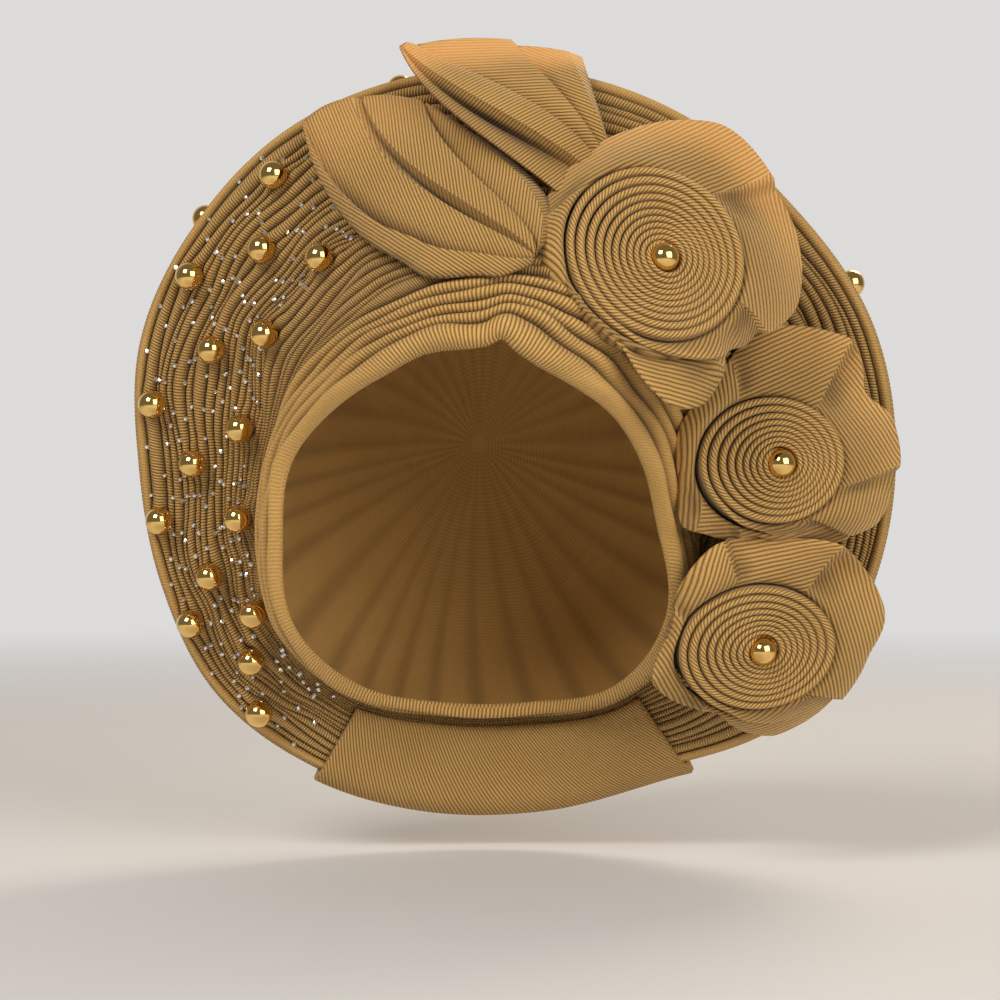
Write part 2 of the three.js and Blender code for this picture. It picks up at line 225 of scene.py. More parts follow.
# Beads on the front of the pleats: angle and share of the brim's width.
FRONT_BEADS = (
    (125.5, 0.868), (146.7, 0.89), (134.9, 0.702), (127.1, 0.47), (156, 0.675), (147.6, 0.442),
    (169, 0.902), (170.6, 0.355), (179, 0.689), (189.2, 0.904), (192.6, 0.204), (201.4, 0.637),
    (213, 0.1), (207.6, 0.885), (218.9, 0.574), (226.4, 0.86),
)
BEAD_PART = {
    "push": 2.3, "along": 7.0, "soft": 2.5, "fade": 7.0,
    "sink": 1.8, "sink_spread": 3.2, "ridge": 0.9, "ridge_at": 5.2, "ridge_spread": 2.0,
}
BEAD_DRAW = 1.8

# Leaves: Bezier sides from the gathered base to the hem, and the lines of their folds.
# A line's row gives its place across the leaf at the base, half way and at the hem, then its height
# at those three, how far the cloth swells before the next line, and the lie of the ribs up to there.
LEAF_WALL = 0.8
LEAF_ROWS = 72
LEAF_STEPS = 8
LINE_PLACES, LINE_HEIGHTS = slice(0, 3), slice(3, 6)
LINE_SWELL, LINE_RIBS = 6, 7
LEAF_EDGE_WAVES, LEAF_EDGE_POWER = 21, 6
LEAF_WAVE_IN, LEAF_WAVE_OUT = (0.05, 0.2), (0.4, 0.6)
LEAF_SWELL_SPAN, LEAF_SHADE_SPAN = (0.15, 0.85), (0.1, 0.86)
# Painted shade below the lit height, and painted light towards the hem.
LEAF_LIT_HEIGHT, LEAF_SHADE_DEPTH = 1.6, 2.2
LEAF_GLOW_FROM, LEAF_GLOW_TO = 0.72, 0.95
LEAVES = {
    "leaf_lower": {
        "low": ((21.4, -82.5, 64.9), (-4, -100, 50), (-48.5, -45, 69), (-58.4, -26, 119.5)),
        "high": ((23.4, -79, 69.9), (41.1, -54, 91.8), (7, -47, 108.3), (-12, -32.5, 124)),
        "hem_bow": 7.0,
        "belly": 3.2,
        "edge_wave": 1.8,
        "glow": 0.2,
        "lines": (
            (0.0, 0.0, 0.0, 0.2, 0.2, 0.3, 0.6, 145),
            (0.2, 0.11, 0.01, 1.0, 5.0, 0.5, 0.2, 145),
            (0.24, 0.16, 0.02, -0.2, -1.0, 0.3, 2.2, 112),
            (0.42, 0.42, 0.44, 1.0, 5.0, 1.8, 0.0, 104),
            (0.46, 0.48, 0.5, -0.3, -1.0, 0.2, 0.0, 104),
            (0.48, 0.5, 0.515, 1.0, 5.2, 1.4, 1.4, 98),
            (0.64, 0.68, 0.93, 1.4, 6.4, 1.8, 0.0, 104),
            (0.67, 0.7, 0.94, -0.3, -0.6, 0.0, 1.4, 82),
            (0.86, 0.9, 0.97, 1.0, 5.2, 0.4, 0.0, 20),
            (1.0, 1.0, 1.0, -0.4, -0.6, 0.0, 0.0, 20),
        ),
    },
    "leaf_upper": {
        "low": ((36, -57, 86), (9, -70, 107), (-14.8, -52, 120.3), (-24, -34, 144.7)),
        "high": ((49, -41, 107), (45, -46, 119), (42, -36, 131.2), (39.5, -26, 142.3)),
        "hem_bow": 4.0,
        "belly": 0.0,
        "edge_wave": 0.0,
        "glow": 0.75,
        "lines": (
            (0.0, 0.0, 0.0, 1.0, 0.8, 0.0, 1.6, 40),
            (0.5, 0.2, 0.005, -0.6, -2.4, 0.0, 0.0, 40),
            (0.54, 0.225, 0.01, 1.6, 4.4, 0.4, 1.4, 30),
            (0.68, 0.48, 0.06, 2.0, 5.0, 1.0, 0.0, 15),
            (0.71, 0.51, 0.1, -0.2, -0.8, 0.0, 1.8, 2),
            (0.8, 0.73, 0.62, 2.0, 5.2, 2.8, 0.0, -10),
            (0.83, 0.76, 0.66, -0.2, -1.4, 0.4, 0.8, -24),
            (0.94, 0.93, 0.93, 1.2, 3.6, 1.2, 0.0, -30),
            (1.0, 1.0, 1.0, 0.2, 0.4, 0.0, 0.0, -30),
        ),
    },
}

# Rosettes: the bead's place, the way the coil looks, and the wound strip.
# Folds give the lines where one petal ends and the next lies over it, by the angle at the coil and
# at the edge.
# Outline gives corners of the petals' edge as seen by the camera, across and down in its pixels.
ROSETTES = {
    "rosette_top": {
        "middle": (65.6, -67, 68.2), "faces": (0.27, -0.9, 0.32),
        "turns": 11, "coil": 29.5, "squash": 1.03,
        "depth": 11.0, "slant": 0.35, "bearing": 50, "drop": 7.0, "lean": (-2.5, 1.0), "glow": 0.5,
        "folds": ((225, 228), (330, 326), (408, 397), (488, 525), (563, 566), (650, 656), (668, 670)),
        "outline": (
            (806, 255), (800, 227), (773, 176), (744, 137), (724, 122), (679, 118), (634, 127), (587, 153),
            (551, 198), (535, 231), (538, 262), (571, 302), (620, 352), (675, 408), (704, 402), (718, 384),
            (726, 352), (765, 333), (800, 302),
        ),
    },
    "rosette_middle": {
        "middle": (107.8, -38, 0), "faces": (0.2, -0.98, 0),
        "turns": 9, "coil": 24.2, "squash": 0.84,
        "depth": 22.5, "slant": 0.35, "bearing": 0, "drop": 9.0, "lean": (-3.0, 0.5), "glow": 0.15,
        "folds": (
            (215, 218), (300, 318), (336, 359), (408, 417), (480, 474), (561, 579), (600, 605), (680, 690),
        ),
        "outline": (
            (899, 460), (890, 416), (861, 396), (858, 345), (830, 334), (798, 328), (763, 330), (732, 358),
            (708, 388), (688, 412), (677, 430), (680, 480), (686, 529), (704, 531), (759, 534), (809, 541),
            (879, 524), (892, 486),
        ),
    },
    "rosette_bottom": {
        "middle": (102.6, -26, -65.4), "faces": (0.2, -0.95, -0.22),
        "turns": 9, "coil": 26.5, "squash": 0.78,
        "depth": 19.5, "slant": 0.3, "bearing": -20, "drop": 6.0, "lean": (-1.5, 0.5), "glow": 0.1,
        "folds": ((215, 218), (317, 328), (409, 414), (470, 472), (519, 517), (586, 592), (690, 696)),
        "outline": (
            (884, 628), (885, 613), (861, 568), (836, 543), (773, 542), (715, 543), (688, 575), (673, 628),
            (652, 681), (670, 697), (720, 711), (781, 740), (806, 729), (837, 704), (869, 653),
        ),
    },
}
CAMERA_PLACE = (10.8, -900.0, -12.6)
CAMERA_MIDDLE = 500
CAMERA_SPREAD = 0.36 / 900
OUTLINE_SOFT, OUTLINE_REACH = 4.0, 9
ROSETTE_SEED = 20
ROSETTE_EYE = 3.0
BEAD_SEAT = 5.3

# The wound strip. Coil and wall.
COIL_STEPS = 64
COIL_GATHER = 1.35
COIL_TIGHTNESS = 0.85
COIL_FILL = 0.95
COIL_BIAS = 46
COIL_WAVE, COIL_WAVES = 0.4, 2.1
COIL_SECTION = (-3, -2, -1, 0)
WALL_FROM, WALL_TO = -0.6, 0.4

# Petals. Spans are the places of a section's four knots from the coil to the edge.
PETAL_STEPS = 240
PETAL_SPANS = (0.0, 0.04, 0.38, 1.0)
PETALS_OPEN_BY = 0.3
FIRST_PETAL_REACH = 8.0
LAST_PETAL_REACH = 0.6
PETAL_LIFT = 3.6
PETAL_LIFT_SHARE = 0.06
PETAL_DOME = 5.5
DOME_FROM, DOME_TO = 0.85, 1
PETAL_UNDER = 4.0
UNDER_FROM, UNDER_TO = 0.75, 1.05
PETAL_CLOSING = 0.2
PETAL_END_DROP = 5
PETAL_WAVES = ((1.2, 2.5), (0.6, 5.3))
PETAL_WAVE_SHIFT = 6
PETAL_SHOULDER = -0.6
SHOULDER_FOOT, SHOULDER_RISE = -1.2, 0.9
PETAL_CROWN, PETAL_CROWN_AT, PETAL_CROWN_LIFT = 1.6, 0.4, 0.5
VALLEY_BEARING = 50
VALLEY_SHOULDER, VALLEY_MIDDLE, VALLEY_EDGE = -2.0, -10, 3.0
PETAL_WALL = 1.6
PETAL_RIB_TILT = 14
# Painted shade in the coil, at the rounded edge and where a petal tucks under; painted light towards the
# glow bearing.
PETAL_SHADE, EDGE_SHADE = 0.45, 0.75
TUCK_SHADE, TUCK_FROM, TUCK_SPAN = 0.6, 0.6, (0.1, 0.8)
GLOW_BEARING, GLOW_FROM = 55, 0.55
STRIP_WALL_STEPS = 3
STRIP_SIDE_STEPS = 12
STRIP_EDGE_STEPS = 6
STRIP_BEND = np.linspace(0, np.pi, STRIP_EDGE_STEPS + 2)[1:-1]

# Gold beads: the hole's lip, how deep it goes for its size, and how the beads are tilted in turn.
BEAD_SEGMENTS, BEAD_RINGS = 32, 20
BEAD_POLE = 0.985
HOLE_LIP, HOLE_LIP_DEPTH, HOLE_DEPTH = 0.3, 0.1, 1.6
BEAD_TILT, BEAD_TILT_STEP = 0.3, 2.4

# Crystals: how far they stand above the brim's plain surface, and how thickly they are set.
CRYSTAL_HEIGHT = 2.6
CRYSTAL_CLEAR = 6.0
CRYSTAL_CHANCE = 0.92
CRYSTAL_START = (0, 8)
CRYSTAL_APART = (4, 11)
CRYSTAL_BARE_PLEATS = 7
CRYSTAL_SIDES = 8
CRYSTAL_ROWS = ((0.52, 0.34), (1.0, 0.05), (1.0, -0.1))
CRYSTAL_POINT = 0.9
CRYSTAL_TIP_SPREAD = 0.22
CRYSTAL_SIZES = (0.85, 1.15)


# Small sums.
def lerp(start, end, share):
    return start + (end - start) * share


def smoothstep(value, low, high):
    share = np.clip((value - low) / (high - low), 0, 1)
    return share * share * (3 - 2 * share)


def unit(vectors):
    return vectors / np.linalg.norm(vectors, axis=-1, keepdims=True)


def around_curve(values, place):
    """A smooth closed curve through equally spaced values, read at a place counted in steps."""
    values = np.asarray(values, float)
    whole = np.floor(place).astype(int)
    t = place - whole
    before, here, after, beyond = (np.take(values, whole + k, mode="wrap") for k in (-1, 0, 1, 2))
    slope = 2 * before - 5 * here + 4 * after - beyond
    bend = beyond - 3 * after + 3 * here - before
    return here + 0.5 * t * (after - before + t * (slope + t * bend))


def bezier(points, t):
    a, b, c, d = (np.asarray(p, float) for p in points)
    t = np.asarray(t, float)[..., None]
    return a * (1 - t) ** 3 + 3 * b * t * (1 - t) ** 2 + 3 * c * t * t * (1 - t) + d * t ** 3


def through_three(values, t):
    """The smooth curve that takes three values at the start, half way and the end."""
    first, middle, last = values
    return first * (1 - t) * (1 - 2 * t) + middle * 4 * t * (1 - t) + last * t * (2 * t - 1)


def ring_noise(rng, degrees, columns, harmonics):
    """Smooth noise that closes round the ring, with a spread of about one in each column."""
    turn = np.radians(degrees)[:, None]
    total = np.zeros((len(degrees), columns))
    for waves in harmonics:
        total += np.sin(waves * turn + rng.uniform(0, 2 * np.pi, columns))
    return total / math.sqrt(len(harmonics) / 2)


def wrapped(degrees):
    return (degrees + 180) % 360 - 180


def ring_angles(count):
    return np.arange(count) * 360 / count


# The ring's surfaces. Degrees have one value for each section, and t one row for each section.
def ring_line(line, degrees):
    place = np.asarray(degrees, float) / SECTION_STEP
    radius = around_curve(SECTIONS[:, SECTION_COLUMNS.index(line + "_r")], place)
    depth = around_curve(SECTIONS[:, SECTION_COLUMNS.index(line + "_y")], place)
    if line == "edge":
        away = wrapped(degrees - NOTCH["angle"]) / NOTCH["spread"]
        radius = radius + NOTCH["rise"] * np.exp(-away * away)
    turn = np.radians(degrees)
    return np.stack([RING_AXIS_X + radius * np.cos(turn), depth, radius * np.sin(turn)], axis=-1)


def band_surface(degrees, t):
    edge = ring_line("edge", degrees)[:, None]
    root = ring_line("root", degrees)[:, None]
    return lerp(edge, root, t[..., None])


def brim_surface(degrees, t):
    root, turn, rim = (ring_line(line, degrees)[:, None] for line in ("root", "turn", "rim"))
    t = t[..., None]
    return root * (1 - t) ** 2 + 2 * turn * t * (1 - t) + rim * t * t


def raised(surface, degrees, t, height):
    """Points of a ring surface, lifted along the way that it faces."""
    step, turn = 0.01, 0.5
    across = surface(degrees, t + step) - surface(degrees, t - step)
    along = surface(degrees + turn, t) - surface(degrees - turn, t)
    facing = unit(np.cross(across, along))
    return surface(degrees, t) + facing * np.asarray(height)[..., None]


def surface_lengths(surface, degrees, samples=65):
    """Lengths along each section of a surface, and the t values that they belong to."""
    t = np.linspace(0, 1, samples)
    points = surface(degrees, np.tile(t, (len(degrees), 1)))
    steps = np.linalg.norm(np.diff(points, axis=1), axis=-1)
    lengths = np.concatenate([np.zeros((len(degrees), 1)), np.cumsum(steps, axis=1)], axis=1)
    return lengths, t


def t_at_lengths(lengths, t, wanted):
    """The t values at the wanted lengths, going straight on past the far end."""
    found = np.empty_like(wanted)
    for row in range(len(wanted)):
        line = lengths[row]
        found[row] = np.interp(wanted[row], line, t)
        past = np.maximum(wanted[row] - line[-1], 0)
        found[row] += past * (t[-1] - t[-2]) / (line[-1] - line[-2])
    return found


# Meshes.
def loft_quads(rows, columns, is_ring):
    """Quads over rows of closed sections, as vertex numbers in reading order."""
    spans = rows if is_ring else rows - 1
    row, column = np.meshgrid(np.arange(spans), np.arange(columns), indexing="ij")
    after, beside = (row + 1) % rows, (column + 1) % columns
    near, far = row * columns, after * columns
    corners = [near + column, near + beside, far + beside, far + column]
    return np.stack(corners, axis=-1).reshape(-1, 4)


def end_quads(rows, columns):
    """Closes both ends of an open loft, joining each point of a section to its partner."""
    first = np.arange(columns // 2 - 1)
    partner = columns - 1 - first
    start = np.stack([first, partner, partner - 1, first + 1], axis=-1)
    last = (rows - 1) * columns
    end = last + np.stack([first, first + 1, partner - 1, partner], axis=-1)
    return np.concatenate([start, end])


def signed_volume(points, quads):
    a, b, c, d = (points[quads[:, k]] for k in range(4))
    return np.sum(a * np.cross(b, c)) + np.sum(a * np.cross(c, d))


def cloth_piece(name, points, quads, corner_uv, masks, creases=None):
    """A smooth mesh object from points and corner UVs in millimetres, facing outwards."""
    if signed_volume(points, quads) < 0:
        quads = quads[:, ::-1]
        corner_uv = corner_uv[:, ::-1]
    mesh = bpy.data.meshes.new(name)
    mesh.from_pydata(points * MM, [], quads)
    layer = mesh.uv_layers.new(name=WEAVE_UV)
    layer.data.foreach_set("uv", (corner_uv * MM).astype(np.float32).ravel())
    for label, values in masks.items():
        mask = mesh.attributes.new(label, "FLOAT", "POINT")
        mask.data.foreach_set("value", values.astype(np.float32).ravel())
    mesh.shade_smooth()
    if creases is not None:
        ends = np.empty(len(mesh.edges) * 2, np.int32)
        mesh.edges.foreach_get("vertices", ends)
        both = creases[ends.reshape(-1, 2)].all(axis=1)
        sharp = mesh.attributes.new("sharp_edge", "BOOLEAN", "EDGE")
        sharp.data.foreach_set("value", both)
    mesh.validate()
    piece = bpy.data.objects.new(name, mesh)
    bpy.context.scene.collection.objects.link(piece)
    return piece


def loft_uv(left, right):
    """Corner UVs of a loft: left and right give UV at each row for each column's two sides."""
    corners = [left[:-1], right[:-1], right[1:], left[1:]]
    return np.stack(corners, axis=2).reshape(-1, 4, 2)


def ring_uv(points, groups, pitch, leans, starts):
    """Corner UVs of a ring of strips, with the ribs of each counted along its own middle line."""
    rows, columns = points.shape[:2]
    left, right = np.zeros((2, rows + 1, columns, 2))
    spans = np.linalg.norm(np.roll(points, -1, axis=1) - points, axis=2)
    for (start, end), lean, first in zip(groups, leans, starts):
        line = points[:, (start + end) // 2]
        steps = np.linalg.norm(np.roll(line, -1, axis=0) - line, axis=1)
        along = np.concatenate([[0], np.cumsum(steps)])
        along *= round(along[-1] / pitch) * pitch / along[-1]
        along = along + first
        sides = np.arange(start, end)
        far = np.concatenate([np.zeros((rows, 1)), np.cumsum(spans[:, sides], axis=1)], axis=1)
        far = np.concatenate([far, far[:1]])
        for side, at in ((left, far[:, :-1]), (right, far[:, 1:])):
            side[:, sides, 0] = along[:, None] + lean * at
            side[:, sides, 1] = at + STRIPS_APART * start
    return loft_uv(left, right)


def turned(first, second, angle):
    """Two measures across the cloth, read on axes turned by an angle."""
    cos, sin = np.cos(angle), np.sin(angle)
    return np.stack([first * cos + second * sin, second * cos - first * sin], axis=-1)


def capped_piece(name, points, corner_uv, masks, creases=None):
    """The piece made of an open loft, with both of its ends closed."""
    rows, columns = points.shape[:2]
    ends = end_quads(rows, columns)
    quads = np.concatenate([loft_quads(rows, columns, False), ends])
    corner_uv = np.concatenate([corner_uv, np.zeros((len(ends), 4, 2))])
    return cloth_piece(name, points.reshape(-1, 3), quads, corner_uv, masks, creases)


def settle(piece, material, flat_name):
    """Gives a cloth piece its finish and its place in the frame."""
    piece.data.materials.append(material)
    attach(piece, BODY)
    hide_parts(flat_name)


# Shader helpers.
def add_node(tree, kind, inputs=None, **settings):
    made = tree.nodes.new(kind)
    for key, value in settings.items():
        setattr(made, key, value)
    for key, value in (inputs or {}).items():
        if isinstance(value, bpy.types.NodeSocket):
            tree.links.new(value, made.inputs[key])
        else:
            made.inputs[key].default_value = value
    return made


def calc(tree, operation, first, second=0.0, third=0.0):
    inputs = {0: first, 1: second, 2: third}
    return add_node(tree, "ShaderNodeMath", inputs, operation=operation).outputs[0]


def mix_colour(tree, share, first, second, blend="MIX"):
    inputs = {0: share, 6: first, 7: second}
    return add_node(tree, "ShaderNodeMix", inputs, data_type="RGBA", blend_type=blend).outputs[2]


def noise(tree, place, scale, detail=2.0):
    inputs = {"Vector": place, "Scale": scale, "Detail": detail}
    return add_node(tree, "ShaderNodeTexNoise", inputs).outputs[0]


def mask_value(tree, label):
    return add_node(tree, "ShaderNodeAttribute", attribute_name=label).outputs["Fac"]


def new_material(name):
    """A material with its node tree, its shader and the place on the object."""
    material = bpy.data.materials.new(name)
    material.use_nodes = True
    tree = material.node_tree
    place = add_node(tree, "ShaderNodeTexCoord").outputs["Object"]
    return material, tree, tree.nodes["Principled BSDF"], place


def rgba(colour):
    return (*colour, 1.0)


def ribbed_weave():
    """Shader group: rounded ribs along the first UV axis, thread grain on them, and soft patches."""
    name = "ribbed_weave"
    if name in bpy.data.node_groups:
        return bpy.data.node_groups[name]
    group = bpy.data.node_groups.new(name, "ShaderNodeTree")
    sockets = {"Cloth": "NodeSocketVector", "Place": "NodeSocketVector", "Pitch": "NodeSocketFloat"}
    for label, kind in sockets.items():
        group.interface.new_socket(label, in_out="INPUT", socket_type=kind)
    for label in ("Rib", "Grain", "Patch", "Relief"):
        group.interface.new_socket(label, in_out="OUTPUT", socket_type="NodeSocketFloat")
    given = group.nodes.new("NodeGroupInput").outputs
    shaky = noise(group, given["Cloth"], SHAKE_SCALE, 1.0)
    axes = add_node(group, "ShaderNodeSeparateXYZ", {0: given["Cloth"]}).outputs
    ribs = calc(group, "DIVIDE", axes[0], given["Pitch"])
    ribs = calc(group, "MULTIPLY_ADD", shaky, RIB_SHAKE, ribs)
    part = calc(group, "FRACT", ribs)
    away = calc(group, "ABSOLUTE", calc(group, "MULTIPLY_ADD", part, 2.0, -1.0))
    arch = calc(group, "SUBTRACT", 1.0, calc(group, "MULTIPLY", away, away))
    rib = calc(group, "POWER", arch, RIB_ROUNDING)
    up = calc(group, "DIVIDE", axes[1], given["Pitch"])
    twist = calc(group, "MULTIPLY_ADD", up, THREAD_TWIST, ribs)
    thread = calc(group, "SINE", calc(group, "MULTIPLY", twist, 2 * math.pi))
    speck = noise(group, given["Cloth"], SPECK_SCALE)
    grain = calc(group, "MULTIPLY_ADD", thread, THREAD_GRAIN, speck)
    patch = noise(group, given["Place"], PATCH_SCALE, 3.0)
    relief = calc(group, "MULTIPLY_ADD", grain, GRAIN_RELIEF, rib)
    made = group.nodes.new("NodeGroupOutput").inputs
    for label, value in (("Rib", rib), ("Grain", grain), ("Patch", patch), ("Relief", relief)):
        group.links.new(value, made[label])
    return group


def ribbed_cloth(name, pitch, relief, shade=1.0):
    """The tan-gold ribbed cloth, with its ribs so far apart and so deep, in metres."""
    look = bpy.context.scene.head_tie_cloth
    material, tree, shader, place = new_material(name)
    uv = add_node(tree, "ShaderNodeUVMap", uv_map=WEAVE_UV).outputs[0]
    inputs = {"Cloth": uv, "Place": place, "Pitch": pitch}
    weave = add_node(tree, "ShaderNodeGroup", inputs, node_tree=ribbed_weave())
    rib, grain, patch, height = (weave.outputs[label] for label in ("Rib", "Grain", "Patch", "Relief"))
    # The shade scale darkens this group's colours for how brightly its pieces are lit: painted shade.
    thread = rgba(c * shade for c in look.thread_colour)
    groove_shade = rgba(c * shade for c in look.groove_shade_colour)
    plain = mask_value(tree, PLAIN)
    over_mean = calc(tree, "SUBTRACT", rib, MEAN_RIB)
    ribbed = calc(tree, "MULTIPLY", over_mean, calc(tree, "SUBTRACT", 1.0, plain))
    ribbed = calc(tree, "ADD", ribbed, MEAN_RIB)
    share = calc(tree, "MULTIPLY_ADD", grain, GRAIN_SHARE, calc(tree, "MULTIPLY", ribbed, RIB_SHARE))
    share = calc(tree, "SUBTRACT", share, GROOVE_SHADE_SHARE)
    share = add_node(tree, "ShaderNodeClamp", {0: share}).outputs[0]
    # Mixing towards the groove colour by the rib's profile paints shade between the ribs.
    colour = mix_colour(tree, share, groove_shade, thread)
    soft = add_node(tree, "ShaderNodeMapRange", {0: patch, **PATCH_RANGE}).outputs[0]
    colour = mix_colour(tree, soft, colour, rgba(look.patch_colour), "MULTIPLY")
    # Painted shade: the mask darkens the colour towards the valley colour deep in folds and valleys.
    depth = calc(tree, "POWER", mask_value(tree, PAINTED_SHADE), VALLEY_SHADE_POWER)
    depth = calc(tree, "MULTIPLY", depth, look.valley_shade_strength)
    colour = mix_colour(tree, depth, colour, rgba(look.valley_shade_colour))
    # Painted light: the mask mixes in the glow colour where light would come through thin cloth.
    colour = mix_colour(tree, mask_value(tree, GLOW), colour, rgba(look.glow_colour))
    tree.links.new(colour, shader.inputs["Base Color"])
    rough = calc(tree, "MULTIPLY_ADD", rib, RIB_GLOSS, CLOTH_ROUGHNESS)
    tree.links.new(rough, shader.inputs["Roughness"])
    firm = calc(tree, "MULTIPLY_ADD", plain, PLAIN_BUMP, 1.0)
    bump = add_node(tree, "ShaderNodeBump", {"Height": height, "Distance": relief, "Strength": firm})
    tree.links.new(bump.outputs[0], shader.inputs["Normal"])
    shader.inputs["Sheen Weight"].default_value = look.sheen
    shader.inputs["Sheen Roughness"].default_value = SHEEN_ROUGHNESS
    shader.inputs["Sheen Tint"].default_value = rgba(look.sheen_colour)
    shader.inputs["Specular IOR Level"].default_value = CLOTH_SPECULAR
    return material


def cloth_finish(name):
    """The cloth of one group of pieces, made once."""
    if name in bpy.data.materials:
        return bpy.data.materials[name]
    look = bpy.context.scene.head_tie_cloth
    # Rib pitch, relief depth in metres, and a shade scale that darkens the group's colours: painted shade.
    finishes = {
        "pleat_cloth": (look.pleat_rib_pitch, 0.00045, 0.9),
        "band_cloth": (look.rib_pitch, 0.0004, 1.0),
        "leaf_cloth": (look.rib_pitch * 0.75, 0.0003, 0.8),
        "petal_cloth": (look.rib_pitch, 0.00036, 0.98),
        "cap_cloth": (look.rib_pitch, 0.0004, 0.92),
    }
    return ribbed_cloth(name, *finishes[name])


def plated_gold():
    """Polished gold plating, a little uneven, as on moulded beads."""
    look = bpy.context.scene.head_tie_beads
    material, tree, shader, place = new_material("bead_gold")
    cloud = noise(tree, place, GOLD_CLOUDS, GOLD_CLOUD_DETAIL)
    colour = mix_colour(tree, cloud, rgba(look.plating_colour), rgba(look.worn_colour))
    tree.links.new(colour, shader.inputs["Base Color"])
    rough = calc(tree, "MULTIPLY_ADD", cloud, *GOLD_ROUGHNESS)
    tree.links.new(rough, shader.inputs["Roughness"])
    shader.inputs["Metallic"].default_value = 1.0
    return material


def crystal_finish():
    """Foil-backed crystal: pale, bright and slightly different from stone to stone."""
    look = bpy.context.scene.head_tie_beads
    material, tree, shader, place = new_material("crystal")
    cloud = noise(tree, place, CRYSTAL_CLOUDS)
    colour = mix_colour(tree, cloud, rgba(look.crystal_shade), rgba(look.crystal_colour))
    tree.links.new(colour, shader.inputs["Base Color"])
    rough = calc(tree, "MULTIPLY_ADD", cloud, *CRYSTAL_ROUGHNESS)
    tree.links.new(rough, shader.inputs["Roughness"])
    shader.inputs["Metallic"].default_value = CRYSTAL_METALLIC
    shader.inputs["Coat Weight"].default_value = 1.0
    return material


# The pleats of the brim, worked out once for the cloth and the crystals that sit in them.
def brim_pleats():
    """Angles, pleat edges by their distance from the rim, lengths and their t, and the beads' places."""
    rng = np.random.default_rng(BRIM_SEED)
    degrees = ring_angles(BRIM_SECTIONS)
    lengths, t = surface_lengths(brim_surface, degrees)
    width = lengths[:, -1:] * (1 - BRIM_START)
    weight = np.exp(PLEAT_UNEVEN * ring_noise(rng, degrees, BRIM_PLEATS, PLEAT_NOISE))
    weight *= rng.uniform(*PLEAT_WIDTHS, BRIM_PLEATS)
    weight[:, 0] = RIM_PLEAT
    for _ in range(PLEAT_PINCHES):
        away = wrapped(degrees[:, None] - rng.uniform(0, 360, BRIM_PLEATS))
        pinch = away / rng.uniform(*PINCH_SPREAD, BRIM_PLEATS)
        weight[:, 1:] *= 1 - PINCH_BY * np.exp(-pinch * pinch)[:, 1:]
    share = np.cumsum(weight, axis=1) / np.sum(weight, axis=1, keepdims=True)
    share = np.concatenate([np.zeros((len(degrees), 1)), share], axis=1)
    crowding = np.clip(OUTER_PITCH * BRIM_PLEATS / width, 1, MOST_CROWDED)
    from_rim = width * (1 - np.maximum(1 - share, 0) ** crowding)
    is_free = np.ones(BRIM_PLEATS + 1)
    is_free[[0, -1]] = 0
    beads = []
    for angle, bead_t in FRONT_BEADS:
        nearest = int(round(angle / 360 * BRIM_SECTIONS)) % BRIM_SECTIONS
        bead_from_rim = lengths[nearest, -1] - np.interp(bead_t, t, lengths[nearest])
        spot = brim_surface(np.array([angle]), np.array([[bead_t]]))[0, 0]
        radius = math.hypot(spot[0] - RING_AXIS_X, spot[2])
        along = np.radians(wrapped(degrees - angle))[:, None] * radius
        beads.append((along, bead_from_rim))
        away = from_rim - bead_from_rim
        push = BEAD_PART["push"] * np.exp(-(along / BEAD_PART["along"]) ** 2)
        shift = push * np.tanh(away / BEAD_PART["soft"]) * np.exp(-np.abs(away) / BEAD_PART["fade"])
        from_rim = from_rim + shift * is_free
    return degrees, np.clip(from_rim, 0, width), lengths, t, beads


def bead_relief(beads, from_rim):
    """How the pleats dip under each bead and rise round it."""
    relief = np.zeros_like(from_rim)
    for along, bead_from_rim in beads:
        distance = np.hypot(along, from_rim - bead_from_rim)
        relief -= BEAD_PART["sink"] * np.exp(-(distance / BEAD_PART["sink_spread"]) ** 2)
        from_ridge = (distance - BEAD_PART["ridge_at"]) / BEAD_PART["ridge_spread"]
        relief += BEAD_PART["ridge"] * np.exp(-from_ridge ** 2)
    return relief


def drawn_to_beads(points):
    """Points of the brim, drawn up to the beads that are sewn to it, so that none stands clear."""
    nodes = sorted(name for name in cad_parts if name.startswith(("bead_front", "bead_back")))
    for node in nodes:
        low, high = (np.array(corner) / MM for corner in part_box(node))
        away = (low + high) / 2 - points
        distance = np.linalg.norm(away, axis=-1, keepdims=True)
        nearest = distance.min()
        gap = max(nearest - (high[0] - low[0]) / 2, 0)
        beyond = (distance - nearest) / BEAD_DRAW
        points = points + away / distance * gap * np.exp(-beyond * beyond)
    return points


